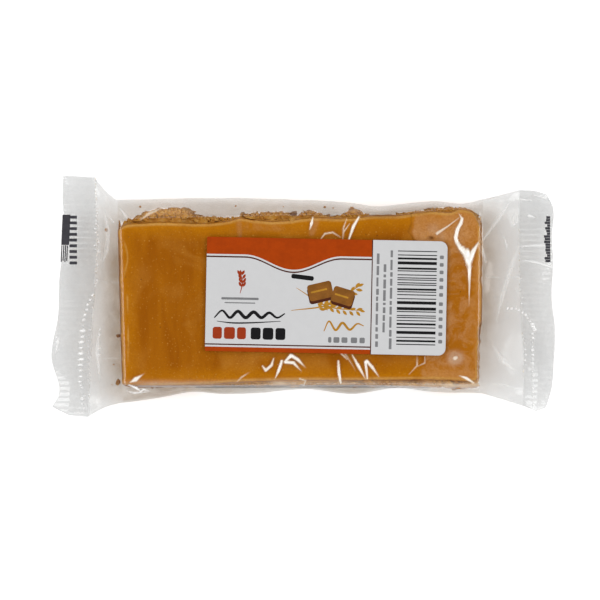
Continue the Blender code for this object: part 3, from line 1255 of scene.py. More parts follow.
    def dress(self, piece: bpy.types.Object, over: np.ndarray, under: np.ndarray) -> None:
        """Notes how grey the film is at each point, how much painted shade it takes, and how much painted
        white: highlights at its creases and a veil of light along the bar's near edge.

        Args:
            piece: The sleeve, whose rows hold the upper ply and then the lower one.
            over: The points of the upper ply.
            under: The points of the lower ply that are its own.
        """
        past_end, past_side = self.away(over)
        smoke = ease(np.maximum(past_end / 0.25, past_side / 0.5))
        crease = add_up((*self.folds, *self.dots), over[..., 0], over[..., 1])[1]
        x = self.form.upright(over)
        # Painted light: a veil of white along the bar's near edge, with a fainter hem beside it.
        past_edge = over[..., 1] - curve(self.food_near, x)
        band = np.exp(-((past_edge - self.haze_middle) / self.haze_half) ** 2)
        uneven = np.clip(0.8 + 0.5 * Grain(self.seed + 3).rough(over * [0.5, 1.0, 1.0], 1.6, 3), 0.2, 1.2)
        veil = straight(self.haze, x, 0.0) * band * uneven
        hem = self.hem_strength * np.exp(-((past_edge - self.hem_middle) / self.hem_half) ** 2)
        veil = np.maximum(veil, hem * ease((x + 52.0) / 3.0) * ease((48.0 - x) / 4.0))
        grey = ease(np.hypot(*self.away(under)) / 0.4)
        for name, upper, lower in (("smoke", smoke, grey), ("shade", self.shade(over), np.zeros(grey.shape)),
                                   ("crease", np.maximum(crease, veil), np.zeros(grey.shape))):
            keep_value(piece, name, np.concatenate([upper, lower], axis=1))

    def build(self, material: bpy.types.Material) -> bpy.types.Object:
        """Builds the sleeve.

        Args:
            material: The film's finish.

        Returns:
            The sleeve.
        """
        over_shares = self.shares()
        under_shares = np.linspace(0.0, 1.0, 37)
        over, under = self.ply(1, over_shares), self.ply(-1, under_shares)
        hem = np.minimum(1.0, np.minimum(over_shares, 1 - over_shares) * 40.0)[None, :, None]
        over = over + self.normals(over) * (self.relief(over)[..., None] * hem)
        inset = np.minimum(under_shares, 1 - under_shares)
        side = ease(inset * 25.0) * (1 - ease((inset - 0.13) * 30.0))
        wrinkles = 0.35 * Grain(self.seed + 1).at(under, 4.0) * side[None]
        under = under - self.normals(under) * np.minimum(wrinkles, 0.1)[..., None]
        under = under[:, -2:0:-1]
        loop = np.concatenate([over, under], axis=1)
        faces = grid_faces(loop.shape[0], loop.shape[1], closed=True)
        piece = mesh_piece("film", loop.reshape(-1, 3), faces.tolist(), material)
        self.dress(piece, over, under)
        return settle(piece, "film_pack")


@dataclass(frozen=True)
class FinMark:
    """A patch of dark ink on a fin, as x and y ranges with a slant along y."""

    left: float
    right: float
    near: float
    far: float
    slant: float = 0.0


@dataclass(frozen=True)
class FinMarks:
    """Dark blocks and dashes printed on both fins, over the ridges. They stand for nothing."""

    left: CrimpedFin
    right: CrimpedFin
    left_marks: tuple[FinMark, ...]
    right_marks: tuple[FinMark, ...]
    gap: float = 0.035
    thickness: float = 0.02
    step: float = 0.22
    table_columns: int = 401
    table_rows: int = 41

    def seat(self, fin: CrimpedFin, x: np.ndarray, y: np.ndarray) -> np.ndarray:
        """Lays points on a fin's upper face.

        Args:
            fin: The fin.
            x: Where along the pack.
            y: Where across it.

        Returns:
            The points, just over the film.
        """
        across, along = np.meshgrid(np.linspace(0.0, 1.0, self.table_columns),
                                    np.linspace(0.0, 1.0, self.table_rows))
        flat = fin.bed(across, along).reshape(-1, 3)
        points = []
        for px, py in zip(x.ravel(), y.ravel()):
            away = (flat[:, 0] - px) ** 2 + (flat[:, 1] - py) ** 2
            near = np.argpartition(away, 4)[:4]
            weight = 1 / (away[near] + 1e-6)
            points.append((px, py, (flat[near, 2] * weight).sum() / weight.sum()))
        points = np.array(points).reshape(x.shape + (3,))
        points[..., 2] += fin.relief(points) + fin.thickness / 2 + self.gap
        return points

    def build(self, material: bpy.types.Material) -> bpy.types.Object:
        """Builds all the marks as one piece.

        Args:
            material: The ink.

        Returns:
            The marks.
        """
        points, faces = [], []
        for fin, marks in ((self.left, self.left_marks), (self.right, self.right_marks)):
            for mark in marks:
                columns = max(2, round((mark.right - mark.left) / self.step) + 1)
                rows = max(2, round((mark.far - mark.near) / self.step) + 1)
                x, y = np.meshgrid(np.linspace(mark.left, mark.right, columns),
                                   np.linspace(mark.near, mark.far, rows))
                upper = self.seat(fin, x + mark.slant * (y - mark.near), y)
                lower = upper - np.array([0.0, 0.0, self.thickness])
                first = sum(len(part) for part in points)
                points += [upper.reshape(-1, 3), lower.reshape(-1, 3)]
                top = grid_faces(rows, columns, first)
                base = grid_faces(rows, columns, first + rows * columns)[:, ::-1]
                ring = first + grid_rim(rows, columns)[::-1]
                following = np.roll(ring, -1)
                wall = np.stack([ring, ring + rows * columns, following + rows * columns, following], axis=-1)
                faces += [top, base, wall]
        piece = mesh_piece("fin_marks", np.concatenate(points), np.concatenate(faces).tolist(), material)
        clean(piece)
        return settle(piece, "film_pack")


def clean(piece: bpy.types.Object) -> None:
    """Merges doubled points and turns all faces outward.

    Args:
        piece: The piece.
    """
    mesh = bmesh.new()
    mesh.from_mesh(piece.data)
    bmesh.ops.remove_doubles(mesh, verts=mesh.verts, dist=1e-7)
    bmesh.ops.recalc_face_normals(mesh, faces=mesh.faces)
    mesh.to_mesh(piece.data)
    mesh.free()


@dataclass(frozen=True)
class CaramelLayer:
    """The poured caramel: a slab with a soft rim, smooth at the left and lumpy at the right.

    The bumps are how far its ragged ends stand out at each y, and the pour is the line, as x and y, where
    the lumpy part begins.
    """

    form: PackForm
    top: float = 15.35
    bottom: float = 11.8
    left: float = -54.9
    right: float = 53.3
    corner: float = 3.2
    rim: float = 1.5
    columns: int = 340
    rows: int = 160
    seed: int = 21
    margin: float = 0.16
    side_levels: int = 5
    left_ragged: float = 0.40
    right_ragged: float = 0.52
    lumps: float = 0.34
    lip: float = 0.16
    step: float = 0.18
    most_rise: float = 0.32
    patch_at: tuple[float, float] = (-11.0, 18.5)
    pit_at: tuple[float, float] = (38.2, 17.4)
    # Sides' shares of rim, lump, pit, highlight line and pinkish; the painted highlight lightens their shade.
    side_marks: tuple[float, ...] = (0.9, 0.0, 0.0, 0.75, 0.0)
    far_edge: Line = ((-55.0, 21.6), (-50.0, 22.0), (-40.0, 22.2), (-28.0, 22.0), (-22.0, 22.7),
                      (-19.0, 23.6), (-14.0, 23.0), (-9.0, 22.6), (-3.0, 22.9), (2.0, 23.6), (10.0, 23.5),
                      (17.0, 23.7), (20.0, 24.2), (28.0, 24.3), (34.0, 25.1), (39.0, 25.6), (44.0, 25.4),
                      (47.0, 26.3), (50.0, 25.6), (53.4, 22.4))
    near_edge: Line = ((-55.0, -27.0), (-50.0, -27.2), (-43.0, -26.9), (-31.0, -26.6), (-19.0, -25.8),
                       (-11.5, -25.5), (-5.5, -25.3), (10.0, -25.3), (25.0, -25.2), (44.0, -25.2),
                       (49.0, -25.5), (53.4, -25.8))
    left_bumps: Line = ((-28.0, 0.2), (-25.6, 0.8), (-24.5, 0.1), (-13.6, 0.1), (-12.0, 0.75), (-10.6, 0.0),
                        (2.0, 0.1), (12.0, -0.2), (20.0, 0.2))
    right_bumps: Line = ((-26.0, 0.2), (-15.5, 0.1), (-13.4, 0.6), (-11.8, 0.2), (-10.0, 0.6),
                         (-7.6, 0.4), (-5.5, 0.1), (-1.0, 0.35), (5.0, 0.1), (12.0, -0.1), (22.0, -0.3))
    pour: Line = ((32.6, 21.8), (31.8, 19.4), (33.2, 17.0), (36.5, 14.0), (35.5, 9.0), (38.0, 2.0),
                  (35.0, -6.0), (37.5, -14.0), (35.0, -22.0))

    def plan(self) -> tuple[np.ndarray, np.ndarray, np.ndarray]:
        """Lays out the top as it is seen from above.

        Returns:
            The points' x and y, and how far each is from the rim.
        """
        x = self.left + (self.right - self.left) * np.linspace(0.0, 1.0, self.columns + 1)
        grain = Grain(self.seed)
        line = np.stack([x, np.zeros(x.shape)], axis=-1)
        far = curve(self.far_edge, x) + 0.22 * grain.rough(line, 3.0, 3)
        near = curve(self.near_edge, x) + 0.12 * grain.rough(line + 50.0, 4.0, 3)
        inset = np.minimum(x - self.left, self.right - x)
        short = np.clip(self.corner - inset, 0.0, self.corner)
        cut = self.corner - np.sqrt(self.corner**2 - short**2)
        far, near = far - cut, near + cut * 0.6
        v = np.linspace(0.0, 1.0, self.rows + 1)
        v = v - 0.035 * np.sin(2 * math.pi * v)
        y = near[:, None] + (far - near)[:, None] * v[None]
        across = np.minimum(y - near[:, None], far[:, None] - y)
        flat = self.form.skew(x[:, None], y)
        ragged = grain.rough(np.stack([np.zeros(y.shape), y], axis=-1), 2.9, 4)
        ragged = ragged * np.where(x[:, None] < 0.0, self.left_ragged, self.right_ragged)
        right_bumps = straight(self.right_bumps, y) - self.form.notch(y)
        ragged = ragged + np.where(x[:, None] < 0.0, -straight(self.left_bumps, y), right_bumps)
        flat = flat + ragged * (1 - ease(inset / 3.0))[:, None]
        distance = np.minimum(across, inset[:, None])
        return flat, y, distance

    def lumpy(self, grain: Grain, flat: np.ndarray) -> tuple[np.ndarray, np.ndarray]:
        """Finds the lumpy part: all past the pour, and a patch that ran over at the far side.

        Args:
            grain: The noise that its border takes.
            flat: Places on the top, as x and y.

        Returns:
            How far each place is past the border, and how lumpy it is.
        """
        x, y = flat[..., 0], flat[..., 1]
        line = np.array(self.pour)
        past = x - (np.interp(-y, -line[:, 1], line[:, 0]) + 0.7 * grain.rough(flat, 3.0, 3))
        patch = np.exp(-((x - self.patch_at[0]) / 8.0) ** 4) * ease((y - self.patch_at[1]) / 2.0)
        return past, np.maximum(ease(past / 1.2), 0.8 * patch)

    def hollows(self, grain: Grain, flat: np.ndarray, past: np.ndarray) -> tuple[np.ndarray, np.ndarray]:
        """Finds the pit in the lumpy part, and the painted shade at the foot of the ridge along its border.

        Args:
            grain: The noise that makes them uneven.
            flat: Places on the top, as x and y.
            past: How far each is past the lumpy part's border.

        Returns:
            How far each place is in the pit, and how much painted shade it takes from the pit and the border.
        """
        x, y = flat[..., 0], flat[..., 1]
        pit = np.exp(-(((x - self.pit_at[0]) / 0.9) ** 2 + ((y - self.pit_at[1]) / 0.6) ** 2) ** 1.5)
        pit = np.clip(pit * (0.8 + 0.9 * grain.rough(flat, 1.4, 3)), 0.0, 1.0)
        # Painted shade at the foot of the pour's ridge.
        border_shade = 0.55 * np.exp(-((past + 0.35) / 0.28) ** 2) * ease((y - 8.0) / 6.0)
        return pit, np.clip(pit + border_shade * (0.6 + 0.8 * grain.rough(flat, 2.0, 3)), 0.0, 1.0)

    def rim_highlight_lines(self, grain: Grain, flat: np.ndarray, distance: np.ndarray) -> np.ndarray:
        """Finds the painted highlight line on the rim, and the broken one inside it at the left end.

        Args:
            grain: The noise that breaks it.
            flat: Places on the top, as x and y.
            distance: How far each is from the rim.

        Returns:
            How far each place is in one of them.
        """
        wander = distance - 2.1 - 0.8 * grain.at(flat + 70.0, 6.0)
        broken = np.clip(0.35 + 1.1 * grain.at(flat + 90.0, 5.0), 0.0, 0.8)
        line = broken * np.exp(-(wander / 0.22) ** 2) * ease((-49.5 - flat[..., 0]) / 2.5)
        return np.clip(line + np.exp(-((distance - 0.6) / 0.38) ** 2), 0.0, 1.0)

    def heights(self, x: np.ndarray, y: np.ndarray, distance: np.ndarray) -> tuple[np.ndarray, ...]:
        """The caramel's surface.

        Args:
            x: Places along the bar.
            y: Places across it.
            distance: How far each is from the rim.

        Returns:
            Heights, and how much each place is rim, lumpy part, painted shade of a hollow, painted highlight
            line and pinkish.
        """
        grain = Grain(self.seed + 1)
        flat = np.stack([x, y], axis=-1)
        past, lump = self.lumpy(grain, flat)
        pit, hollow = self.hollows(grain, flat, past)
        short = np.clip(self.rim - distance, 0.0, self.rim)
        drop = (self.rim - np.sqrt(np.maximum(self.rim**2 - short**2, 0.0))) * 1.15
        ruffle = grain.rough(flat + 11.0, 4.2, 4)
        ridge = self.lip * np.exp(-((past - 0.5) / 0.7) ** 2)
        step = self.step * lump * ease((y - 12.0) / 4.0)
        soft = 0.10 * grain.at(flat, 14.0) + 0.035 * grain.rough(flat * np.array([1.0, 0.3]), 2.6, 3)
        rolled = self.lip * np.exp(-((distance - 1.9) / 0.8) ** 2) * (x < -48.0)
        height = self.top - drop + soft + lump * self.lumps * ruffle + ridge + step + rolled - 0.9 * pit
        rim = np.clip(1.30 - distance / 4.6, 0.0, 1.0) * (1.0 - 0.55 * lump)
        corners = np.maximum(ease((y - 11.0) / 8.0), ease((-20.5 - y) / 3.0))
        beside = ease((x - 50.8) / 1.6) * (0.35 + 0.55 * ease((y - 2.0) / 6.0))
        pinkish = lump * np.maximum(corners, beside) * ease((x - 20.0) / 8.0)
        line = self.rim_highlight_lines(grain, flat, distance)
        return np.minimum(height, self.top + self.most_rise), rim, lump, hollow, line, pinkish

    def build(self, material: bpy.types.Material) -> bpy.types.Object:
        """Builds the slab.

        Args:
            material: The caramel's finish.

        Returns:
            The caramel layer.
        """
        x, y, distance = self.plan()
        z, *marks = self.heights(x, y, distance)
        top = np.stack([x, y, z], axis=-1)
        rows, columns = x.shape
        edge = grid_rim(rows, columns)
        border = top.reshape(-1, 3)[edge]
        grain = Grain(self.seed + 2)
        out = border[:, :2] - border[:, :2].mean(axis=0)
        out = out / np.linalg.norm(out, axis=1, keepdims=True)
        points, faces, previous = [top.reshape(-1, 3)], [grid_faces(rows, columns)[:, ::-1]], edge
        total = rows * columns
        for share in np.linspace(0.0, 1.0, self.side_levels + 1)[1:]:
            depth = border[:, 2] + (self.bottom - border[:, 2]) * share
            rough = grain.rough(np.column_stack([border[:, :2], depth]), 3.0, 3)
            swell = 0.35 * np.sin(math.pi * share) + 0.25 * rough * math.sin(math.pi * min(share, 0.9))
            points.append(np.column_stack([border[:, :2] + out * swell[:, None], depth]))
            current = np.arange(total, total + len(edge))
            faces.append(np.stack([previous, np.roll(previous, -1), np.roll(current, -1), current], axis=-1))
            previous, total = current, total + len(edge)
        faces = np.concatenate(faces).tolist() + [previous[::-1].tolist()]
        points = self.form.keep_inside(np.concatenate(points), self.margin)
        piece = mesh_piece("caramel_layer", points, faces, material)
        names = ("rim", "lump", "pit", "rim_highlight", "pinkish")
        for name, values, side in zip(names, marks, self.side_marks):
            sides = np.full(total - rows * columns, side)
            keep_value(piece, name, np.concatenate([values.ravel(), sides]))
        return settle(piece, "film_pack")


@dataclass(frozen=True)
class OatBase:
    """The pressed oat base under the caramel: a block with crumbly sides."""

    form: PackForm
    top: float = 12.2
    bottom: float = 0.85
    left: float = -54.9
    right: float = 53.1
    columns: int = 220
    rows: int = 90
    levels: int = 22
    seed: int = 31
    tuck: float = 0.8
    lumps: float = 0.32
    margin: float = 0.3
    far_edge: Line = ((-55.0, 18.6), (-54.2, 20.8), (-52.4, 22.2), (-50.2, 22.8), (-48.2, 23.9),
                      (-45.5, 25.1), (-40.5, 25.8), (-34.6, 25.3), (-32.4, 23.9), (-27.0, 23.2),
                      (-19.5, 23.4), (-16.0, 24.2), (-10.0, 24.6), (-4.8, 24.3), (-3.0, 23.5), (1.0, 24.9),
                      (3.8, 24.9), (6.0, 23.7), (12.0, 24.0), (14.2, 25.5), (16.2, 25.3), (18.4, 24.2),
                      (34.0, 25.0), (46.0, 26.0), (50.0, 25.1), (52.0, 23.0), (53.2, 20.2))
    near_edge: Line = ((-54.5, -26.2), (-40.0, -26.4), (-20.0, -26.3), (0.0, -26.2), (20.0, -26.2),
                       (34.0, -26.6), (42.0, -26.9), (50.0, -27.0), (53.0, -26.6))

    def side(self, far: bool, x: float) -> float:
        """How far out the block's far or near side stands at x."""
        return float(curve(self.far_edge if far else self.near_edge, x))

    def box(self) -> bpy.types.Mesh:
        """Builds an even box that reaches from -1 to 1 each way.

        Returns:
            The box, with its faces outward.
        """
        counts = (self.columns, self.rows, self.levels)
        mesh = bmesh.new()
        steps = [np.linspace(-1.0, 1.0, count + 1) for count in counts]
        cache: dict = {}

        def corner(index: tuple[int, int, int]) -> bmesh.types.BMVert:
            """Finds a point of the block's skin, or makes it.

            Args:
                index: Its steps along x, y and z.

            Returns:
                The point.
            """
            if index not in cache:
                cache[index] = mesh.verts.new([steps[axis][index[axis]] for axis in range(3)])
            return cache[index]

        for axis in range(3):
            first, second = [other for other in range(3) if other != axis]
            for side in (0, counts[axis]):
                for i, j in itertools.product(range(counts[first]), range(counts[second])):
                    face = []
                    for di, dj in ((0, 0), (1, 0), (1, 1), (0, 1)):
                        index = [0, 0, 0]
                        index[axis], index[first], index[second] = side, i + di, j + dj
                        face.append(corner(tuple(index)))
                    mesh.faces.new(face)
        bmesh.ops.recalc_face_normals(mesh, faces=mesh.faces)
        data = bpy.data.meshes.new("oat_base")
        mesh.to_mesh(data)
        mesh.free()
        return data

    def shape(self, unit: np.ndarray) -> np.ndarray:
        """Gives the box the form of the base.

        Args:
            unit: The box's points.

        Returns:
            The points in the pack's frame, with crumbly sides, inside the film.
        """
        x = (self.left + self.right) / 2 + unit[:, 0] * (self.right - self.left) / 2
        far, near = curve(self.far_edge, x), curve(self.near_edge, x)
        height = (unit[:, 2] + 1) / 2
        tuck = self.tuck * ease(1 - height / 0.6)
        y = (far + near) / 2 + unit[:, 1] * ((far - near) / 2 - tuck)
        z = self.bottom + height * (self.top - self.bottom)
        step = self.form.notch(y) * ease((x - 46.0) / 7.0)
        points = np.column_stack([self.form.skew(x, y) - step, y, z])
        push = self.lumps * Grain(self.seed).rough(points, 2.6, 3)
        normal = np.sign(unit) * (np.abs(unit) > 0.999)
        normal = normal / np.maximum(np.linalg.norm(normal, axis=1, keepdims=True), 1e-9)
        return self.form.keep_inside(points + normal * push[:, None], self.margin)

    def build(self, material: bpy.types.Material) -> bpy.types.Object:
        """Builds the block.

        Args:
            material: The oats' finish.

        Returns:
            The oat base.
        """
        data = self.box()
        unit = np.zeros(len(data.vertices) * 3)
        data.vertices.foreach_get("co", unit)
        data.vertices.foreach_set("co", (self.shape(unit.reshape(-1, 3)) * MM).ravel())
        data.materials.append(material)
        data.shade_smooth()
        data.update()
        piece = bpy.data.objects.new("oat_base", data)
        bpy.context.scene.collection.objects.link(piece)
        return settle(piece, "film_pack")


@dataclass(frozen=True)
class RolledOats:
    """Rolled oats that show on the faces of the base, pressed against the film.

    The counts are of flakes on the long sides, on the ends, underneath and on the shelf beside the caramel.
    """

    form: PackForm
    base: OatBase
    length: float = 7.2
    width: float = 5.2
    thickness: float = 0.9
    sides: int = 300
    ends: int = 110
    under: int = 300
    shelf: int = 190
    around: int = 11
    rings: Line = ((0.55, 0.95), (1.0, 0.0), (0.55, -0.95))
    x_range: tuple[float, float] = (-53.0, 51.5)
    margin: float = 0.5
    seed: int = 41

    def flake(self, dice: np.random.Generator, scale: float) -> np.ndarray:
        """One flake with its own outline, groove and curl, as points round its middle.

        Args:
            dice: Where its variation comes from.
            scale: How large it is.

        Returns:
            Its points: the upper middle and rings, the rim, then the lower rings and middle.
        """
        angle = np.arange(self.around) * 2 * math.pi / self.around
        ragged = 1 + dice.normal(0.0, 0.07, self.around)
        length, width = self.length * dice.uniform(0.75, 1.1), self.width * dice.uniform(0.75, 1.1)
        size = np.array([length, width]) / 2 * scale
        thick = self.thickness * dice.uniform(0.7, 1.2) / 2 * min(1.0, scale + 0.2)
        parts = [np.zeros((1, 3))]
        for reach, up in self.rings:
            x, y = size[0] * reach * ragged * np.cos(angle), size[1] * reach * ragged * np.sin(angle)
            parts.append(np.column_stack([x, y, np.full(self.around, up * thick)]))
        parts[0][0, 2] = thick * 0.45
        parts.append(np.array([[0.0, 0.0, -thick]]))
        points = np.concatenate(parts)
        curl, twist = dice.normal(0.0, 0.045, 2) / scale
        points[:, 2] += curl * points[:, 0] ** 2 + twist * points[:, 0] * points[:, 1]
        return points

    def flake_faces(self) -> list[tuple[int, ...]]:
        """The faces of a flake.

        Returns:
            Three or four indices of its points for each face.
        """
        n = self.around
        faces = [(0, 1 + k, 1 + (k + 1) % n) for k in range(n)]
        for ring in range(2):
            a, b = 1 + ring * n, 1 + (ring + 1) * n
            faces += [(a + k, b + k, b + (k + 1) % n, a + (k + 1) % n) for k in range(n)]
        last = 1 + 3 * n
        return faces + [(last, last - n + (k + 1) % n, last - n + k) for k in range(n)]

    def seats(self, dice: np.random.Generator) -> list[tuple[tuple, tuple, float]]:
        """Where the flakes lie.

        Args:
            dice: Where the scatter comes from.

        Returns:
            For each flake its middle, the way that it faces, and its scale.
        """
        seats = []
        base = self.base
        for k in range(self.sides):
            x, z = dice.uniform(*self.x_range), dice.uniform(1.6, 12.4)
            far = k % 2 == 0
            y = base.side(far, x)
            tuck = base.tuck * float(ease(1 - (z - base.bottom) / 6.5))
            y = y - (tuck + 0.25) if far else y + tuck + 0.25
            seats.append(((x, y, z), (0.0, 1.0 if far else -1.0, 0.1), dice.uniform(0.45, 1.0)))
        for k in range(self.ends):
            y, z = dice.uniform(-25.0, 22.5), dice.uniform(1.8, 12.0)
            x = base.left + 0.3 if k % 2 else base.right - 0.3 - float(self.form.notch(y))
            seats.append(((float(self.form.skew(x, y)), y, z), (-1.0 if k % 2 else 1.0, 0.0, 0.1),
                          dice.uniform(0.45, 0.95)))
        for _ in range(self.under):
            seats.append(((dice.uniform(*self.x_range), dice.uniform(-24.5, 22.5), base.bottom + 0.45),
                          (0.0, 0.0, -1.0), dice.uniform(0.6, 1.0)))
        for k in range(self.shelf):
            x = dice.uniform(*self.x_range)
            far = k % 3 != 0
            y = base.side(far, x) - (0.9 if far else -0.9)
            seats.append(((x, y + dice.normal(0.0, 0.35), base.top - dice.uniform(0.0, 0.5)),
                          (dice.normal(0, 0.3), 0.6 if far else -0.6, 0.8), dice.uniform(0.3, 0.62)))
        return seats

    def build(self, material: bpy.types.Material) -> bpy.types.Object:
        """Builds all the flakes as one piece.

        Args:
            material: The oats' finish.

        Returns:
            The flakes.
        """
        dice = np.random.default_rng(self.seed)
        points, polygons, total = [], [], 0
        shape = self.flake_faces()
        for middle, facing, scale in self.seats(dice):
            flake = self.flake(dice, scale)
            aim = Vector(facing) + Vector(dice.normal(0.0, 0.22, 3))
            spin = Matrix.Rotation(dice.uniform(0, math.tau), 3, "Z")
            turn = aim.to_track_quat("Z", "Y").to_matrix() @ spin
            points.append(flake @ np.array(turn).T + np.array(middle))
            polygons += [tuple(index + total for index in face) for face in shape]
            total += len(flake)
        points = self.form.keep_inside(np.concatenate(points), self.margin)
        piece = mesh_piece("oat_flakes", points, polygons, material)
        return settle(piece, "film_pack")


@dataclass(frozen=True)
class Crumbs:
    """Grit and crumbs: along the rims of the base, on the caramel's edge and loose in the film.

    Each loose crumb is given by its x, y and z and its size.
    """

    form: PackForm
    base: OatBase
    rims: int = 2900
    ends: int = 620
    unevenness: float = 0.12
    loose: tuple[tuple[float, float, float, float], ...] = (
        (-59.2, 20.0, 5.5, 0.55), (-55.5, -11.8, 10.5, 0.8), (-55.6, -25.7, 9.5, 0.95),
        (-57.0, -20.5, 5.0, 0.3), (-57.5, -26.5, 5.4, 0.3), (14.6, 26.4, 9.5, 0.7), (15.6, 26.0, 9.3, 0.5),
        (-20.3, 27.2, 6.6, 0.35), (-6.0, 27.0, 6.6, 0.25), (6.5, 26.9, 6.8, 0.4), (9.0, 26.6, 6.8, 0.3),
        (-49.0, 27.0, 7.0, 0.5))
    margin: float = 0.4
    seed: int = 51

    def spots(self, dice: np.random.Generator) -> list[tuple[float, float, float, float]]:
        """Where the crumbs lie.

        Args:
            dice: Where the scatter comes from.

        Returns:
            For each crumb its x, y and z and its size, with the loose ones first.
        """
        spots = list(self.loose)
        for k in range(self.rims):
            x = dice.uniform(-53.5, 52.3)
            far = k % 5 < 3
            rim = self.base.side(far, x)
            inward = abs(dice.normal(0.0, 0.9))
            z = dice.uniform(8.5, self.base.top + 0.2)
            size = dice.uniform(0.45, 0.85) if far and k % 3 == 0 else dice.uniform(0.18, 0.55)
            spots.append((x, rim - inward + 0.35 if far else rim + inward - 0.3, z, size))
        for k in range(self.ends):
            y, z = dice.uniform(-26.0, 22.5), dice.uniform(7.5, 13.6)
            x = self.base.left - 0.05 if k % 2 else self.base.right + 0.3 - float(self.form.notch(y))
            inward = abs(dice.normal(0.0, 0.35)) * (1 if k % 2 else -1)
            spots.append((float(self.form.skew(x, y)) + inward, y, z, dice.uniform(0.18, 0.5)))
        return spots

    def build(self, material: bpy.types.Material) -> bpy.types.Object:
        """Builds all the crumbs as one piece.

        Args:
            material: The oats' finish.

        Returns:
            The crumbs.
        """
        dice = np.random.default_rng(self.seed)
        ball = bmesh.new()
        bmesh.ops.create_icosphere(ball, subdivisions=1, radius=1.0)
        shape = np.array([vert.co for vert in ball.verts])
        faces = np.array([[vert.index for vert in face.verts] for face in ball.faces])
        ball.free()
        points, polygons = [], []
        for number, (x, y, z, size) in enumerate(self.spots(dice)):
            stretch = np.diag(dice.uniform(0.6, 1.25, 3)) * size
            turn = np.array(Euler(dice.uniform(0, math.tau, 3)).to_matrix())
            uneven = shape * (1 + dice.normal(0, self.unevenness, (len(shape), 1)))
            points.append(uneven @ stretch @ turn + np.array([x, y, z]))
            polygons.append(faces + number * len(shape))
        points = np.concatenate(points)
        inner = slice(len(self.loose) * len(shape), None)
        points[inner] = self.form.keep_inside(points[inner], self.margin)
        piece = mesh_piece("crumbs", points, np.concatenate(polygons).tolist(), material)
        return settle(piece, "film_pack")


class Ink(Enum):
    """The colours that the labels are printed in, each with its own finish."""

    PAPER = PrintFinish("label_white", (0.600, 0.600, 0.605), 0.45, 0.012)
    ORANGE = PrintFinish("label_orange_red", (0.400, 0.049, 0.0006), 0.40, 0.07)
    BLACK = PrintFinish("label_black", (0.010, 0.010, 0.011), 0.38, 0.10)
    DARK = PrintFinish("label_dark_brown", (0.075, 0.018, 0.008), 0.40, 0.08)
    RED = PrintFinish("label_brick_red", (0.330, 0.040, 0.0090), 0.40, 0.06)
    GOLD = PrintFinish("label_golden", (0.500, 0.240, 0.0250), 0.40, 0.12)
    BROWN = PrintFinish("label_baked_brown", (0.270, 0.105, 0.0180), 0.40, 0.14)
    GREY = PrintFinish("label_small_print_grey", (0.210, 0.210, 0.215), 0.42, 0.06)


@dataclass(frozen=True)
class Patch:
    """One flat area of print, by its outline from the label's near left corner."""

    ink: Ink
    outline: np.ndarray


def block(ink: Ink, left: float, near: float, right: float, far: float, corner: float = 0.0,
          turn: float = 0.0) -> Patch:
    """A printed rectangle.

    Args:
        ink: Its colour.
        left: Its left side.
        near: Its near side.
        right: Its right side.
        far: Its far side.
        corner: The radius of its corners.
        turn: How far it is turned, in degrees.

    Returns:
        The patch.
    """
    middle = np.array([(left + right) / 2, (near + far) / 2])
    half = np.array([right - left, far - near]) / 2
    corner = min(corner, half[0] * 0.98, half[1] * 0.98)
    if corner > 0.0:
        angles = np.arange(16) * math.tau / 16 + math.tau / 32
        reach = np.column_stack([np.cos(angles), np.sin(angles)])
        points = np.sign(reach) * (half - corner) + reach * corner
    else:
        points = np.array([(-1, -1), (1, -1), (1, 1), (-1, 1)]) * half
    return Patch(ink, turned(points, turn) + middle)


def grain_shape(ink: Ink, at: tuple[float, float], long: float, wide: float, turn: float) -> Patch:
    """A printed cereal grain: a pointed oval.

    Args:
        ink: Its colour.
        at: Its middle.
        long: Its length.
        wide: Its width.
        turn: The way that it points, in degrees.

    Returns:
        The patch.
    """
    t = np.linspace(0.0, 1.0, 7)[:-1]
    upper = np.column_stack([long * (t - 0.5), wide / 2 * np.sin(math.pi * t) ** 0.8])
    return Patch(ink, (turned(np.concatenate([upper, -upper]), turn) + np.array(at))[::-1])


def swash(ink: Ink, line: Line, width: float) -> Patch:
    """A printed stroke with tapering ends along a smooth line.

    Args:
        ink: Its colour.
        line: The points that it passes.
        width: Its width in the middle.

    Returns:
        The patch.
    """
    points = np.array(line, float)
    stations = np.arange(len(points), dtype=float)
    fine = np.linspace(0.0, len(points) - 1.0, 9 * len(points))
    x, y = smooth(stations, points[:, 0], fine), smooth(stations, points[:, 1], fine)
    tangent = np.column_stack([np.gradient(x), np.gradient(y)])
    tangent /= np.linalg.norm(tangent, axis=1, keepdims=True)
    half = width / 2 * (0.3 + 0.7 * np.sin(math.pi * np.linspace(0.02, 0.98, len(fine))))[:, None]
    side = np.column_stack([-tangent[:, 1], tangent[:, 0]]) * half
    middle = np.column_stack([x, y])
    return Patch(ink, np.concatenate([middle - side, (middle + side)[::-1]]))


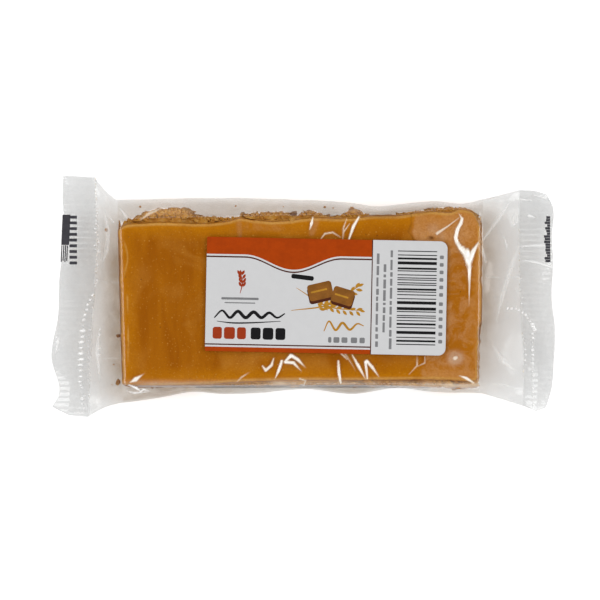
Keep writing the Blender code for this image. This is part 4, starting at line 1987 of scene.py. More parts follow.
@dataclass(frozen=True)
class LabelSheet:
    """A printed paper label with round corners, cut along the edges of its print."""

    length: float = 72.0
    width: float = 34.2
    corner: float = 2.2
    left_corner: float = 0.35
    corner_steps: int = 8
    mesh_step: float = 1.5
    mesh_inset: float = 0.7
    sharp_from: float = 40.0

    def outline(self) -> np.ndarray:
        """The label's own outline.

        Returns:
            Its points, once round.
        """
        points = []
        for quarter in range(4):
            corner = self.corner if quarter in (0, 3) else self.left_corner
            x = self.length - corner if quarter in (0, 3) else corner
            y = self.width - corner if quarter in (0, 1) else corner
            for step in range(self.corner_steps + 1):
                angle = math.pi / 2 * (quarter + step / self.corner_steps)
                points.append((x + corner * math.cos(angle), y + corner * math.sin(angle)))
        return np.array(points)

    def cut(self, patches: list[Patch]) -> tuple[np.ndarray, list[tuple[int, ...]], list[Ink]]:
        """Divides the label along the outlines of its print.

        Args:
            patches: The printed patches, with later ones on top.

        Returns:
            Flat points, triangles, and the ink of each triangle.
        """
        shapes = [self.outline(), *(patch.outline for patch in patches)]
        points, faces = [], []
        for shape in shapes:
            faces.append(list(range(len(points), len(points) + len(shape))))
            points += [Vector(point) for point in shape]
        inset = self.mesh_inset
        for x in np.linspace(inset, self.length - inset, round(self.length / self.mesh_step)):
            for y in np.linspace(inset, self.width - inset, round(self.width / self.mesh_step)):
                points.append(Vector((float(x), float(y))))
        flat, _, triangles, _, _, sources = delaunay_2d_cdt(points, [], faces, 0, 1e-4, True)
        kept, inks = [], []
        for triangle, source in zip(triangles, sources):
            if 0 not in source:
                continue
            kept.append(tuple(triangle))
            inks.append(patches[max(source) - 1].ink if max(source) else Ink.PAPER)
        return np.array([tuple(point) for point in flat]), kept, inks

    def raise_sheet(self, name: str, upper: np.ndarray, lower: np.ndarray, triangles: list[tuple[int, ...]],
                    inks: list[Ink], both_faces: bool) -> bpy.types.Object:
        """Builds a closed sheet from its two faces.

        Args:
            name: The piece's name.
            upper: Points of the upper face.
            lower: Points of the lower face.
            triangles: The triangles of each face.
            inks: The ink of each triangle.
            both_faces: Whether the lower face shows the print too.

        Returns:
            The label.
        """
        order = list(Ink)
        count = len(upper)
        sides: dict[tuple[int, int], int] = {}
        for triangle in triangles:
            for a, b in zip(triangle, triangle[1:] + triangle[:1]):
                sides[(a, b)] = sides.get((a, b), 0) + 1
        rim = [(a, b) for a, b in sides if (b, a) not in sides]
        faces = list(triangles) + [tuple(index + count for index in triangle[::-1]) for triangle in triangles]
        faces += [(b, a, a + count, b + count) for a, b in rim]
        piece = mesh_piece(name, np.concatenate([upper, lower]), faces, order[0].value.make())
        for ink in order[1:]:
            piece.data.materials.append(ink.value.make())
        slots = [order.index(ink) for ink in inks]
        slots += slots if both_faces else [0] * len(slots)
        slots += [0] * len(rim)
        piece.data.polygons.foreach_set("material_index", slots)
        mesh = bmesh.new()
        mesh.from_mesh(piece.data)
        bmesh.ops.delete(mesh, geom=[vert for vert in mesh.verts if not vert.link_faces], context="VERTS")
        mesh.to_mesh(piece.data)
        mesh.free()
        piece.data.set_sharp_from_angle(angle=math.radians(self.sharp_from))
        return piece


@dataclass(frozen=True)
class FrontLabel:
    """The label on the caramel side, with an invented design of bands, bars, grain ears and stripes."""

    sheet: LabelSheet
    middle: tuple[float, float] = (6.9, 0.1)
    turn: float = -1.15
    face_z: float = 16.44
    thickness: float = 0.12
    ripple: float = 0.045
    panel: float = 49.4
    near_over: float = 0.5
    far_over: float = 0.8
    band: float = 29.1
    dip: float = 4.3
    module: float = 0.297
    seed: int = 61

    def header(self, u: np.ndarray) -> np.ndarray:
        """The lower edge of the band along the label's far side: a soft dip left of its middle."""
        share = np.clip(np.abs(u - 26.0) / 14.5, 0.0, 1.0)
        return self.band - self.dip * (0.5 + 0.5 * np.cos(math.pi * share))

    def bands(self) -> list[Patch]:
        """The bands and lines at the label's edges.

        Returns:
            Their patches.
        """
        start, stop = -self.near_over, self.sheet.width + self.far_over
        u = np.linspace(start, self.panel, 60)
        edge = self.header(u)
        top = np.array([(self.panel, stop), (start, stop)])
        line = np.concatenate([np.column_stack([u, edge - 1.00]), np.column_stack([u, edge - 0.55])[::-1]])
        return [
            Patch(Ink.ORANGE, np.concatenate([np.column_stack([u, edge]), top])),
            Patch(Ink.DARK, line),
            block(Ink.ORANGE, start, start, self.panel, 1.35),
            block(Ink.DARK, start, 1.90, self.panel, 2.30),
            block(Ink.DARK, self.panel, start, self.panel + 0.32, stop),
        ]

    def small_print(self, dice: np.random.Generator) -> list[Patch]:
        """Grey bars in columns along the plain panel, in the place of small print.

        Args:
            dice: Where their lengths come from.

        Returns:
            Their patches.
        """
        patches = []
        for left, near, far in ((50.9, 2.2, 30.2), (53.0, 6.6, 27.0), (55.0, 1.6, 31.2)):
            place = near
            while place < far - 0.6:
                long = min(dice.uniform(0.7, 3.4), far - place)
                wide = dice.uniform(0.62, 0.86)
                patches.append(block(Ink.GREY, left, place, left + wide, place + long, 0.12))
                place += long + dice.uniform(0.45, 0.75)
        for k in range(12):
            near = 3.6 + 2.25 * k + (0.5 if k > 5 else 0.0)
            patches.append(block(Ink.GREY, 69.75, near, 70.95, near + 1.1, 0.3))
        return patches

    def stripes(self, dice: np.random.Generator) -> list[Patch]:
        """A block of black stripes of uneven widths that stand for nothing.

        Args:
            dice: Where their widths come from.

        Returns:
            Their patches.
        """
        patches, place, module = [], 3.0, self.module
        while place < 31.0:
            wide = module * dice.choice([1, 1, 1, 2, 3], p=[0.3, 0.2, 0.1, 0.2, 0.2])
            patches.append(block(Ink.BLACK, 57.2, place, 68.9, min(place + wide, 31.2)))
            place += wide + module * dice.choice([1, 2, 3], p=[0.5, 0.3, 0.2])
        return patches

    def bars(self) -> list[Patch]:
        """Plain bars and strokes in the place of words.

        Returns:
            Their patches.
        """
        patches = [block(Ink.GREY, 4.6, 15.5, 15.8, 16.2, 0.3), block(Ink.GREY, 5.6, 14.4, 14.8, 14.75, 0.15)]
        waves = tuple((2.6 + 2.35 * k, 10.9 + (1.35 if k % 2 else -0.9) * (1.0 - 0.05 * k))
                      for k in range(10))
        patches.append(swash(Ink.BLACK, waves, 1.05))
        patches.append(swash(Ink.BLACK, ((3.4, 9.0), (8.0, 8.55), (14.0, 8.7), (22.5, 9.3)), 0.45))
        for left, right in ((2.2, 5.0), (5.6, 8.9), (9.5, 12.2)):
            patches.append(block(Ink.RED, left, 3.7, right, 7.3, 0.75))
        for left, right in ((13.6, 16.6), (17.2, 20.4), (21.0, 24.0)):
            patches.append(block(Ink.BLACK, left, 3.7, right, 7.3, 0.75))
        patches.append(swash(Ink.GOLD, ((35.5, 6.6), (37.0, 9.6), (39.0, 7.0), (41.0, 9.2), (43.2, 7.2),
                                        (45.4, 9.0), (47.4, 8.4)), 0.75))
        patches += [block(Ink.GREY, left, 3.2, left + wide, 4.9, 0.4) for left, wide in
                    ((36.8, 1.0), (38.4, 1.8), (40.8, 1.8), (43.6, 1.9), (46.2, 1.6))]
        return patches

    def ear(self, ink: Ink, foot: tuple[float, float], tip: tuple[float, float], pairs: int,
            size: float) -> list[Patch]:
        """A stylised ear of grain.

        Args:
            ink: Its colour.
            foot: Where its stem starts.
            tip: Where it ends.
            pairs: How many pairs of grains it has.
            size: The length of a grain.

        Returns:
            Its patches.
        """
        dx, dy = tip[0] - foot[0], tip[1] - foot[1]
        heading = math.degrees(math.atan2(dy, dx))
        bend = (foot[0] + dx * 0.5 + dy * 0.10, foot[1] + dy * 0.5 - dx * 0.10)
        patches = [swash(ink, (foot, bend, tip), size * 0.22)]
        for k in range(pairs):
            share = 0.38 + 0.56 * k / max(1, pairs - 1)
            x = foot[0] + dx * share + dy * 0.4 * share * (1 - share)
            y = foot[1] + dy * share - dx * 0.4 * share * (1 - share)
            for side in (-1, 1):
                lean = heading + side * 30
                off = math.radians(heading + side * 58)
                at = (x + 0.42 * size * math.cos(off), y + 0.42 * size * math.sin(off))
                patches.append(grain_shape(ink, at, size, size * 0.46, lean))
        patches.append(grain_shape(ink, tip, size, size * 0.42, heading))
        return patches

    def picture(self) -> list[Patch]:
        """Ears of grain with two cut pieces of bar, and a small badge.

        Returns:
            Their patches.
        """
        patches = self.ear(Ink.GOLD, (25.6, 12.6), (46.2, 20.6), 8, 2.1)
        patches += self.ear(Ink.GOLD, (27.0, 19.4), (46.8, 12.9), 7, 1.9)
        for at, long, wide, turn in (((34.2, 18.6), 7.4, 5.0, 14.0), ((41.0, 17.2), 6.6, 4.8, -16.0)):
            half = long / 2
            patches.append(block(Ink.DARK, at[0] - half, at[1] - wide / 2 - 0.9, at[0] + half,
                                 at[1] + wide / 2 - 0.9, 0.9, turn))
            patches.append(block(Ink.BROWN, at[0] - half, at[1] - wide / 2, at[0] + half, at[1] + wide / 2,
                                 0.9, turn))
            patches.append(block(Ink.GOLD, at[0] - half + 0.8, at[1] - 0.2, at[0] + half - 1.6,
                                 at[1] + 0.35, 0.25, turn))
        patches += self.ear(Ink.RED, (10.2, 17.4), (10.2, 23.6), 4, 1.75)
        patches.append(block(Ink.BLACK, 25.4, 21.9, 32.2, 23.3, 0.6, -6.0))
        return patches

    def build(self) -> bpy.types.Object:
        """Builds the label.

        Returns:
            The label.
        """
        dice = np.random.default_rng(self.seed)
        patches = self.bands() + self.stripes(dice) + self.small_print(dice) + self.bars() + self.picture()
        flat, triangles, inks = self.sheet.cut(patches)
        local = flat - np.array([self.sheet.length, self.sheet.width]) / 2
        placed = turned(local, self.turn) + np.array(self.middle)
        lift = self.ripple * Grain(self.seed).rough(placed, 13.0, 2)
        upper = np.column_stack([placed, self.face_z + lift])
        lower = upper - np.array([0.0, 0.0, self.thickness])
        piece = self.sheet.raise_sheet("front_label_print", upper, lower, triangles, inks, False)
        return settle(piece, "front_label")


@dataclass(frozen=True)
class BackLabel:
    """The label on the underside, which lies flat and curls up with the film at its near margin."""

    form: PackForm
    sheet: LabelSheet
    middle_x: float = 3.6
    far_y: float = 6.0
    gap: float = 0.3
    thickness: float = 0.15
    settling: float = 0.05
    row_pitch: float = 1.75
    table_rows: int = 48
    table_columns: int = 90
    path_points: int = 500
    seed: int = 71

    def rows(self) -> list[Patch]:
        """Rows of short grey and black bars, in the place of small print.

        Returns:
            Their patches.
        """
        dice = np.random.default_rng(self.seed)
        patches = []
        near = 4.6
        while near < self.sheet.width - 2.4:
            place = 3.0
            heading = dice.random() < 0.22
            while place < self.sheet.length - 4.0:
                long = min(dice.uniform(1.4, 7.5), self.sheet.length - 3.0 - place)
                patches.append(block(Ink.BLACK if heading else Ink.GREY, place, near, place + long,
                                     near + (0.85 if heading else 0.6), 0.15))
                place += long + dice.uniform(0.6, 1.1)
            near += self.row_pitch
        for left, right in ((-33.0, -29.4), (-18.2, -15.2), (4.3, 8.2), (27.8, 39.0)):
            place = left
            while place < right:
                long = dice.uniform(0.5, 1.3)
                start = place - self.middle_x + self.sheet.length / 2
                patches.append(block(Ink.BLACK, start, 0.15, start + long, 0.85, 0.12))
                place += long + dice.uniform(0.2, 0.4)
        return patches

    def bend(self, flat: np.ndarray, outer: bool) -> np.ndarray:
        """Lays one face of the flat label against the film.

        Args:
            flat: Points of the flat label, from its near left corner.
            outer: Whether this is the outer, lower face.

        Returns:
            The points where they lie.
        """
        stations = np.linspace(0.0, self.sheet.length, self.table_rows)
        reaches = np.linspace(0.0, self.sheet.width, self.table_columns)
        away = self.gap + (self.thickness if outer else 0.0)
        table = np.zeros((len(stations), len(reaches), 2))
        for row, place in enumerate(stations):
            path = self.form.ply(self.middle_x - self.sheet.length / 2 + place, -1)
            length = travelled(*path)
            dense = np.linspace(0.0, length[-1], self.path_points)
            y, z = np.interp(dense, length, path[0]), np.interp(dense, length, path[1])
            dy, dz = np.gradient(y), np.gradient(z)
            size = np.hypot(dy, dz)
            y_out, z_out = y + away * dz / size, z - away * dy / size - self.settling
            wanted = np.interp(self.far_y, y, dense) - self.sheet.width + reaches
            table[row, :, 0] = np.interp(wanted, dense, y_out)
            table[row, :, 1] = np.maximum(np.interp(wanted, dense, z_out), 0.0 if outer else self.thickness)
        row, column = flat[:, 0] / stations[1], flat[:, 1] / reaches[1]
        bent = [read_table(table[..., axis], row, column) for axis in range(2)]
        return np.column_stack([self.middle_x - self.sheet.length / 2 + flat[:, 0], *bent])

    def build(self) -> bpy.types.Object:
        """Builds the label.

        Returns:
            The label.
        """
        flat, triangles, inks = self.sheet.cut(self.rows())
        upper, lower = self.bend(flat, False), self.bend(flat, True)
        piece = self.sheet.raise_sheet("back_label_print", upper, lower, triangles, inks, True)
        return settle(piece, "back_label")


@dataclass(frozen=True)
class Softbox:
    """One studio light, by where it hangs round the pack, its size and how bright its face is.

    The angles are in degrees, and the distance and the size in metres.
    """

    name: str
    azimuth: float
    from_zenith: float
    distance: float
    wide: float
    tall: float
    radiance: float

    def hang(self) -> None:
        """Hangs the light.

        It faces the pack, and its power follows from how bright its face is.
        """
        lamp = bpy.data.lights.new(self.name, "AREA")
        lamp.shape = "RECTANGLE"
        lamp.size, lamp.size_y = self.wide, self.tall
        lamp.energy = self.radiance * math.pi * self.wide * self.tall
        across, up = math.radians(self.azimuth), math.radians(self.from_zenith)
        place = Vector((math.sin(up) * math.cos(across), math.sin(up) * math.sin(across), math.cos(up)))
        light = bpy.data.objects.new(self.name, lamp)
        light.location = place * self.distance
        light.rotation_euler = place.to_track_quat("Z", "Y").to_euler()
        bpy.context.scene.collection.objects.link(light)


@dataclass(frozen=True)
class Studio:
    """The pale floor, the soft lights and the camera straight above the pack.

    Half the floor's width is in metres. The air's brightness is that at the horizon and overhead.
    """

    softboxes: tuple[Softbox, ...] = (
        Softbox("left_softbox", 180.0, 38.0, 1.1, 0.60, 0.50, 3.2),
        Softbox("right_softbox", 6.0, 38.0, 1.1, 0.60, 0.50, 3.4),
        Softbox("front_softbox", 262.0, 46.0, 1.2, 0.80, 0.40, 2.0),
        Softbox("back_softbox", 90.0, 50.0, 1.2, 0.80, 0.40, 1.5),
    )
    floor_half: float = 3.0
    floor_drop: float = 0.05
    camera_over: tuple[float, float] = (-0.96, -1.05)
    camera_height: float = 2211.0
    focus_height: float = 11.0
    view_width: float = 180.0
    sensor: float = 36.0
    ambient: float = 0.03
    horizon: float = 0.66
    fade_heights: tuple[float, float] = (0.82, 0.96)

    def lay_floor(self) -> None:
        """Lays the floor just under the pack.

        It is wide enough for its edge to stay out of every view.
        """
        half = self.floor_half / MM
        steps = np.linspace(-half, half, 5)
        x, y = np.meshgrid(steps, steps)
        points = np.stack([x, y, np.full(x.shape, -self.floor_drop)], axis=-1).reshape(-1, 3)
        floor = mesh_piece("studio_floor", points, grid_faces(5, 5)[:, ::-1].tolist(), FloorFinish().make())

    def set_camera(self) -> None:
        """Sets the camera straight above, with the photo's framing.

        Its lens is long enough for the sides of the bar to stay hidden, as in the photo.
        """
        camera = bpy.data.cameras.new("camera")
        camera.sensor_width = self.sensor
        camera.lens = self.sensor * (self.camera_height - self.focus_height) / self.view_width
        camera.clip_start, camera.clip_end = 0.05, 20.0
        holder = bpy.data.objects.new("camera", camera)
        holder.location = (self.camera_over[0] * MM, self.camera_over[1] * MM, self.camera_height * MM)
        bpy.context.scene.collection.objects.link(holder)
        bpy.context.scene.camera = holder

    def build(self) -> None:
        """Builds the studio.

        The air glows near the horizon and is nearly dark overhead, so that the film shines at its folds only.
        """
        scene = bpy.context.scene
        scene.view_settings.view_transform = "Standard"
        world = bpy.data.worlds.new("studio_air")
        world.use_nodes = True
        nodes, links = world.node_tree.nodes, world.node_tree.links
        height = nodes.new("ShaderNodeSeparateXYZ")
        links.new(nodes.new("ShaderNodeTexCoord").outputs["Generated"], height.inputs[0])
        fade = nodes.new("ShaderNodeMapRange")
        links.new(height.outputs["Z"], fade.inputs["Value"])
        for key, value in zip(("From Min", "From Max", "To Min", "To Max"),
                              (*self.fade_heights, self.horizon, self.ambient)):
            fade.inputs[key].default_value = value
        links.new(fade.outputs["Result"], nodes["Background"].inputs["Strength"])
        nodes["Background"].inputs["Color"].default_value = (1.0, 1.0, 1.0, 1.0)
        scene.world = world
        self.lay_floor()
        self.set_camera()
        for softbox in self.softboxes:
            softbox.hang()


# Each fold is the line it follows as x and y, its height, the width of its left and right flanks, and its
# scale at each point of the line. The folds stand where the film shows highlights: their flanks catch the
# softboxes, their creases carry painted highlights, and the faint wide ones carry only soft painted
# reflections.
BAR_FOLDS = (
    Fold(((46.6, 24.9), (47.6, 23.2), (47.2, 21.8), (46.3, 20.2), (45.7, 17.6), (46.1, 16.2), (47.3, 14.4),
         (48.8, 12.4)), 0.27, 0.62, 0.85, (0.35, 0.8, 1.0, 1.0, 1.0, 1.0, 1.2, 1.2)),
    Fold(((47.7, 14.3), (48.7, 12.4), (49.6, 9.4)), 0.24, 1.2, 1.2, (0.9, 1.0, 0.8)),
    Fold(((49.0, 13.6), (49.7, 12.0), (49.7, 8.8)), 0.24, 1.3, 1.5, (0.9, 1.0, 0.7)),
    Fold(((52.5, 16.2), (50.8, 13.4), (49.7, 10.0)), 0.24, 1.0, 1.0, (0.5, 1.0, 0.9)),
    Fold(((49.7, 9.6), (49.7, 4.3), (49.7, -2.5)), 0.20, 0.6, 0.5, (1.3, 0.8, 0.3)),
    Fold(((3.6, 22.2), (2.6, 19.0)), 0.010, 1.8, 2.0, (1.0, 0.8)),
    Fold(((45.3, -18.4), (45.8, -18.4)), 0.035, 3.4, 3.4, (1.0, 1.0)),
    Fold(((45.4, -18.5), (45.8, -18.3)), 0.14, 0.95, 0.95, (1.0, 0.9)),
    Fold(((38.5, 20.5), (41.5, 18.0)), 0.012, 2.4, 2.4, (1.0, 0.7)),
    Fold(((46.7, 23.6), (43.4, 21.1), (40.1, 18.9)), 0.13, 0.45, 0.45, (0.5, 0.8, 1.3)),
    Fold(((-52.5, -26.1), (-50.2, -24.8), (-47.2, -22.8)), 0.34, 0.95, 1.1, (0.2, 1.0, 0.1)),
    Fold(((-52.3, -26.4), (-49.9, -27.4), (-48.5, -28.5)), 0.21, 0.5, 0.6, (0.6, 1.0, 0.4)),
    Fold(((-49.0, -28.6), (-47.8, -27.8), (-46.3, -28.2)), 0.16, 0.4, 0.5, (0.5, 1.0, 0.4)),
    Fold(((-53.2, -28.3), (-50.5, -28.9), (-44.5, -28.3)), 0.13, 0.4, 0.5, (0.4, 1.0, 0.3)),
    Fold(((2.9, 23.7), (2.5, 21.8), (2.0, 20.1)), 0.2, 0.55, 0.6, (0.6, 1.0, 0.5)),
    Fold(((5.2, 17.1), (6.5, 18.8), (8.8, 19.2), (11.2, 17.7)), 0.1, 0.4, 0.4, (0.6, 1.0, 1.0, 0.5)),
    Fold(((13.0, 23.2), (12.1, 20.6), (11.9, 16.9)), 0.1, 0.35, 0.4, (0.6, 1.0, 0.6)),
    Fold(((13.9, 21.8), (12.1, 19.3)), 0.1, 0.35, 0.4, (0.6, 1.0)),
    Fold(((16.7, 23.8), (15.1, 21.1), (13.6, 16.8)), 0.2, 0.6, 0.7, (0.7, 1.0, 0.6)),
    Fold(((-8.8, -18.4), (-9.5, -20.6), (-11.2, -22.1), (-12.2, -20.8)),
         0.18, 0.6, 0.6, (0.5, 1.0, 1.0, 0.6)),
    Fold(((-6.4, -19.3), (-7.3, -22.1), (-8.5, -24.8)), 0.21, 0.6, 0.6, (0.9, 1.0, 0.4)),
    Fold(((-3.5, -17.7), (-1.6, -18.9), (0.8, -21.4)), 0.22, 0.7, 0.7, (1.0, 1.0, 0.3)),
    Fold(((-5.6, -19.6), (-3.7, -17.7)), 0.26, 0.8, 0.9, (0.6, 1.0)),
    Fold(((-5.2, -19.6), (-2.9, -19.8), (-0.4, -22.5)), 0.21, 0.6, 0.7, (1.0, 1.0, 0.3)),
    Fold(((-1.1, -24.6), (0.7, -25.2), (0.2, -26.6), (-1.1, -26.2)), 0.1, 0.4, 0.4, (1.0, 1.0, 1.0, 0.6)),
    Fold(((10.5, -19.3), (10.7, -22.6), (11.2, -25.9)), 0.22, 0.6, 0.6, (0.7, 1.0, 0.8)),
    Fold(((11.3, -16.9), (13.1, -18.8)), 0.13, 0.4, 0.4, (1.0, 0.6)),
    Fold(((12.4, -16.9), (14.9, -20.8), (15.8, -22.6)), 0.08, 0.35, 0.4, (1.0, 0.6, 0.3)),
    Fold(((14.6, -17.4), (16.6, -21.0), (18.7, -24.8)), 0.25, 0.6, 0.55, (0.5, 1.1, 0.4)),
    Fold(((18.7, -19.6), (19.2, -24.6)), 0.22, 0.55, 0.6, (1.0, 0.7)),
    Fold(((19.0, -19.3), (20.6, -21.1), (22.7, -24.1)), 0.22, 0.6, 0.6, (1.0, 1.0, 0.4)),
    Fold(((34.1, -17.8), (34.1, -20.7), (31.6, -23.4)), 0.08, 0.35, 0.4, (0.6, 1.0, 0.5)),
    Fold(((36.5, -17.8), (36.4, -19.9), (34.1, -21.0)), 0.08, 0.35, 0.4, (0.6, 1.0, 0.5)),
    Fold(((46.4, -23.6), (48.8, -24.4), (51.1, -25.9)), 0.22, 0.6, 0.7, (0.3, 1.0, 0.6)),
    Fold(((-20.2, -25.9), (-18.4, -24.1), (-16.0, -22.6)), 0.08, 0.4, 0.5, (0.5, 1.0, 0.4)),
    Fold(((-19.0, 25.1), (-19.2, 21.5), (-18.9, 18.1)), 0.007, 1.2, 1.4, (0.5, 1.0, 0.8)),
    Fold(((-41.5, 26.9), (-46.0, 24.8), (-48.7, 22.9)), 0.09, 0.6, 0.9, (0.4, 1.0, 0.5)),
)

TENT_FOLDS = (
    Fold(((63.2, 29.8), (59.0, 23.8), (53.3, 16.1)), 0.05, 0.9, 1.1, (0.4, 1.0, 0.6)),
    Fold(((65.3, 16.1), (62.6, 8.5), (59.9, 0.1), (57.8, -8.2)), 0.045, 0.8, 1.6, (0.5, 1.0, 1.0, 0.4)),
    Fold(((59.9, 19.1), (61.1, 15.4), (61.4, 13.3)), 0.06, 0.5, 0.6, (0.4, 1.0, 0.4)),
    Fold(((53.5, 15.1), (54.2, 12.2), (55.1, 9.4)), 0.07, 0.5, 0.5, (0.8, 1.0, 0.3)),
    Fold(((53.8, 13.3), (54.5, 10.9), (54.7, 9.2)), 0.05, 0.4, 0.4, (0.8, 1.0, 0.3)),
    Fold(((63.4, 25.1), (62.9, 23.2), (63.2, 21.4), (64.4, 22.3), (64.1, 24.1)),
         0.05, 0.35, 0.4, (0.6, 1.0, 1.0, 1.0, 0.6)),
    Fold(((54.2, 29.4), (56.0, 30.3), (58.0, 30.6)), 0.26, 0.9, 1.0, (0.6, 1.0, 0.5)),
    Fold(((56.9, 29.2), (59.0, 28.9), (61.4, 28.3)), 0.04, 0.35, 0.4, (0.6, 1.0, 0.5)),
    Fold(((54.8, -25.9), (59.9, -26.4), (65.0, -28.2)), 0.05, 0.4, 0.5, (0.3, 1.0, 0.4)),
    Fold(((63.5, 3.1), (64.7, 1.3), (65.3, -0.1)), 0.04, 0.35, 0.4, (0.5, 1.0, 0.4)),
    Fold(((56.0, -13.3), (59.9, -19.1), (64.1, -22.6)), 0.045, 1.2, 1.6, (0.3, 1.0, 0.3)),
    Fold(((55.1, 5.8), (65.0, 5.8)), 0.025, 0.4, 0.4, (0.6, 1.0)),
    Fold(((55.1, -0.4), (60.5, -0.4)), 0.02, 0.4, 0.4, (0.6, 1.0)),
    Fold(((-59.8, 26.8), (-58.4, 19.3), (-58.9, 13.9), (-60.7, 8.5)), 0.045, 1.0, 1.3, (0.3, 1.0, 1.0, 0.3)),
    Fold(((-61.3, 19.3), (-61.3, 13.9), (-60.4, 9.2)), 0.03, 0.8, 0.8, (0.3, 1.0, 0.4)),
    Fold(((-61.9, 4.3), (-55.3, 4.3)), 0.025, 0.35, 0.4, (0.8, 1.0)),
    Fold(((-60.7, -18.6), (-55.3, -18.6)), 0.025, 0.35, 0.4, (0.8, 1.0)),
    Fold(((-55.6, 27.4), (-52.9, 23.8)), 0.06, 0.7, 0.8, (0.4, 1.0)),
    Fold(((-58.9, 25.1), (-56.8, 22.3)), 0.05, 0.5, 0.6, (0.4, 1.0)),
    Fold(((-61.3, -10.0), (-61.9, -16.6), (-61.0, -25.1)), 0.07, 0.9, 1.0, (0.4, 1.0, 0.4)),
)


LEFT_FIN = CrimpedFin(
    End.LEFT,
    cut=((-75.5, -33.2), (-73.6, -30.0), (-75.7, -18.0), (-73.7, -5.5), (-73.4, 5.0), (-71.6, 20.0),
         (-72.3, 29.0), (-72.2, 36.3)),
    middle=((-70.4, -35.7), (-69.6, -18.0), (-68.4, 4.0), (-67.2, 22.0), (-67.4, 36.1)),
    crimp=((-64.6, -36.2), (-64.0, -20.0), (-63.0, 0.0), (-62.0, 20.0), (-62.6, 35.8)),
    wave=(1.5, 1.2, 0.3),
    ridge_end=((-65.4, -36.0), (-66.8, -28.0), (-67.0, -14.0), (-65.7, -5.5), (-64.2, 0.5), (-62.4, 3.0),
               (-62.0, 20.0), (-62.3, 36.0)),
    dots=(
        DotRow(((-62.3, 35.5), (-61.9, 20.0), (-62.1, 4.0)), 34, 0.13, 0.34, 0.30, 0.32, 2),
        DotRow(((-63.3, 0.5), (-64.7, -2.5), (-65.6, -5.7), (-66.2, -8.6)), 7, 0.20, 0.42, 0.36, 0.05, 3),
        DotRow(((-66.2, -10.3), (-66.8, -16.0), (-66.9, -25.6)), 10, 0.22, 0.85, 0.36, 0.06, 4),
        DotRow(((-66.6, -26.4), (-66.2, -30.0), (-65.6, -34.5)), 8, 0.14, 0.40, 0.30, 0.30, 5),
        DotRow(((-62.5, 1.5), (-63.6, -6.0), (-64.5, -14.5), (-64.4, -30.0)), 20, 0.10, 0.30, 0.26, 0.12, 6),
    ),
    creases=(Fold(((-74.0, -11.8), (-73.6, -13.6), (-74.2, -17.0)), 0.14, 0.5, 0.6, (0.5, 1.0, 0.4)),),
    pinch=0.7,
    seed=5,
)

RIGHT_FIN = CrimpedFin(
    End.RIGHT,
    cut=((73.0, -33.3), (74.6, -28.0), (75.4, -20.0), (75.7, -9.6), (74.7, -1.0), (75.1, 10.4), (74.8, 18.0),
         (75.0, 27.4), (73.2, 30.8)),
    middle=((70.0, -34.5), (70.7, -20.0), (70.4, 0.0), (70.0, 20.0), (69.4, 31.9)),
    crimp=((66.2, -32.9), (66.2, -15.0), (65.3, 0.0), (65.0, 15.0), (65.0, 32.0)),
    wave=(1.6, 1.5, 2.2),
    ridge_end=((68.8, -35.0), (68.9, -11.0), (68.6, -7.5), (66.8, -4.5), (65.4, -3.5), (65.2, 30.0)),
    dots=(
        DotRow(((61.4, -3.7), (64.7, -4.0), (66.8, -5.3), (68.2, -7.4)), 8, 0.20, 0.42, 0.34, 0.08, 7),
        DotRow(((69.0, -8.2), (69.6, -10.2)), 4, 0.22, 0.95, 0.40, 0.05, 8),
        DotRow(((69.0, -11.2), (68.9, -20.0), (69.2, -32.5)), 18, 0.17, 0.42, 0.32, 0.10, 9),
        DotRow(((66.0, -11.0), (67.0, -17.0), (66.5, -24.0)), 9, 0.12, 0.34, 0.28, 0.30, 10),
        DotRow(((65.4, 24.0), (65.0, 10.0), (65.4, -2.0)), 15, 0.10, 0.30, 0.28, 0.35, 12),
    ),
    creases=(
        Fold(((65.3, 15.0), (70.0, 15.3), (74.4, 15.4)), 0.10, 0.45, 0.5, (0.5, 1.0, 0.8)),
        Fold(((65.6, 11.0), (70.0, 10.3), (74.4, 8.9)), 0.12, 0.5, 0.6, (0.5, 1.0, 0.8)),
        Fold(((65.5, 29.2), (68.4, 28.9)), 0.10, 0.5, 0.5, (1.0, 0.5)),
        Fold(((69.2, 30.6), (72.4, 29.7)), 0.10, 0.5, 0.5, (0.6, 1.0)),
        Fold(((67.7, 24.3), (69.8, 23.7)), 0.12, 0.55, 0.5, (1.0, 0.5)),
    ),
    seed=8,
)

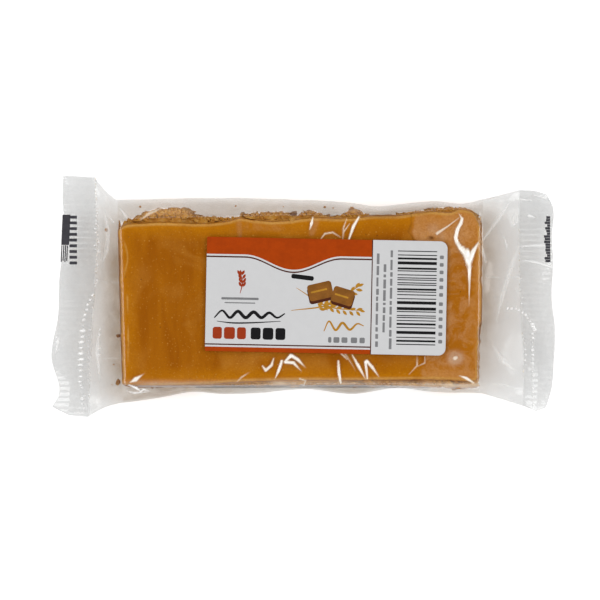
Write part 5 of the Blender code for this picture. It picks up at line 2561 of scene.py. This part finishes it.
TENT_DOTS = (
    LEFT_FIN.dots[0],
    RIGHT_FIN.dots[0],
    DotRow(((-61.2, -9.5), (-61.0, -16.0), (-61.5, -25.5)), 9, 0.10, 0.30, 0.28, 0.12, 13),
)


def left_marks() -> tuple[FinMark, ...]:
    """Lays out the left fin's marks: a block, four faded bars beside it and a row of dashes.

    Returns:
        The marks.
    """
    faded = (FinMark(-73.0 + 0.56 * k, -72.66 + 0.56 * k, 10.4 + 0.3 * (k % 2), 15.4, 0.05) for k in range(4))
    dashes = (FinMark(-70.3, -68.0, 23.4 - 1.72 * k, 24.3 - 1.72 * k, -0.02) for k in range(9))
    return FinMark(-72.8, -70.4, 15.5, 24.6, 0.05), *faded, *dashes


def right_marks() -> tuple[FinMark, ...]:
    """Lays out the right fin's marks: a row of short bars with uneven inner ends.

    Returns:
        The marks.
    """
    dice = np.random.default_rng(81)
    return tuple(FinMark(72.3 + 1.1 * dice.random(), 74.3, 10.3 + 0.82 * k, 11.05 + 0.82 * k)
                 for k in range(17))


def main() -> None:
    """Builds the studio and every piece of the pack.

    Each piece is reported as it is settled.
    """
    logging.basicConfig(level=logging.INFO, format="%(name)s: %(message)s")
    Studio().build()
    form = PackForm()
    base = OatBase(form)
    crimped = FilmFinish("crimped_film", smoky=(0.808, 0.811, 0.811), frost=0.07).make()
    sleeve = FilmSleeve(form, LEFT_FIN, RIGHT_FIN, BAR_FOLDS + TENT_FOLDS, TENT_DOTS, base.near_edge,
                        base.far_edge)
    sleeve.build(FilmFinish().make())
    for fin in (LEFT_FIN, RIGHT_FIN):
        fin.build(crimped)
    CaramelLayer(form).build(CaramelFinish().make())
    base.build(OatFinish("oat_base_face", blotch_size=1.8).make())
    RolledOats(form, base).build(OatFinish("rolled_oats").make())
    Crumbs(form, base).build(OatFinish("oat_crumbs", blotch_size=1.2).make())
    FrontLabel(LabelSheet()).build()
    BackLabel(form, LabelSheet()).build()
    ink = PrintFinish("date_ink", (0.058, 0.056, 0.066), 0.5, 0.15).make()
    FinMarks(LEFT_FIN, RIGHT_FIN, left_marks(), right_marks()).build(ink)


if __name__ == "__main__":
    main()
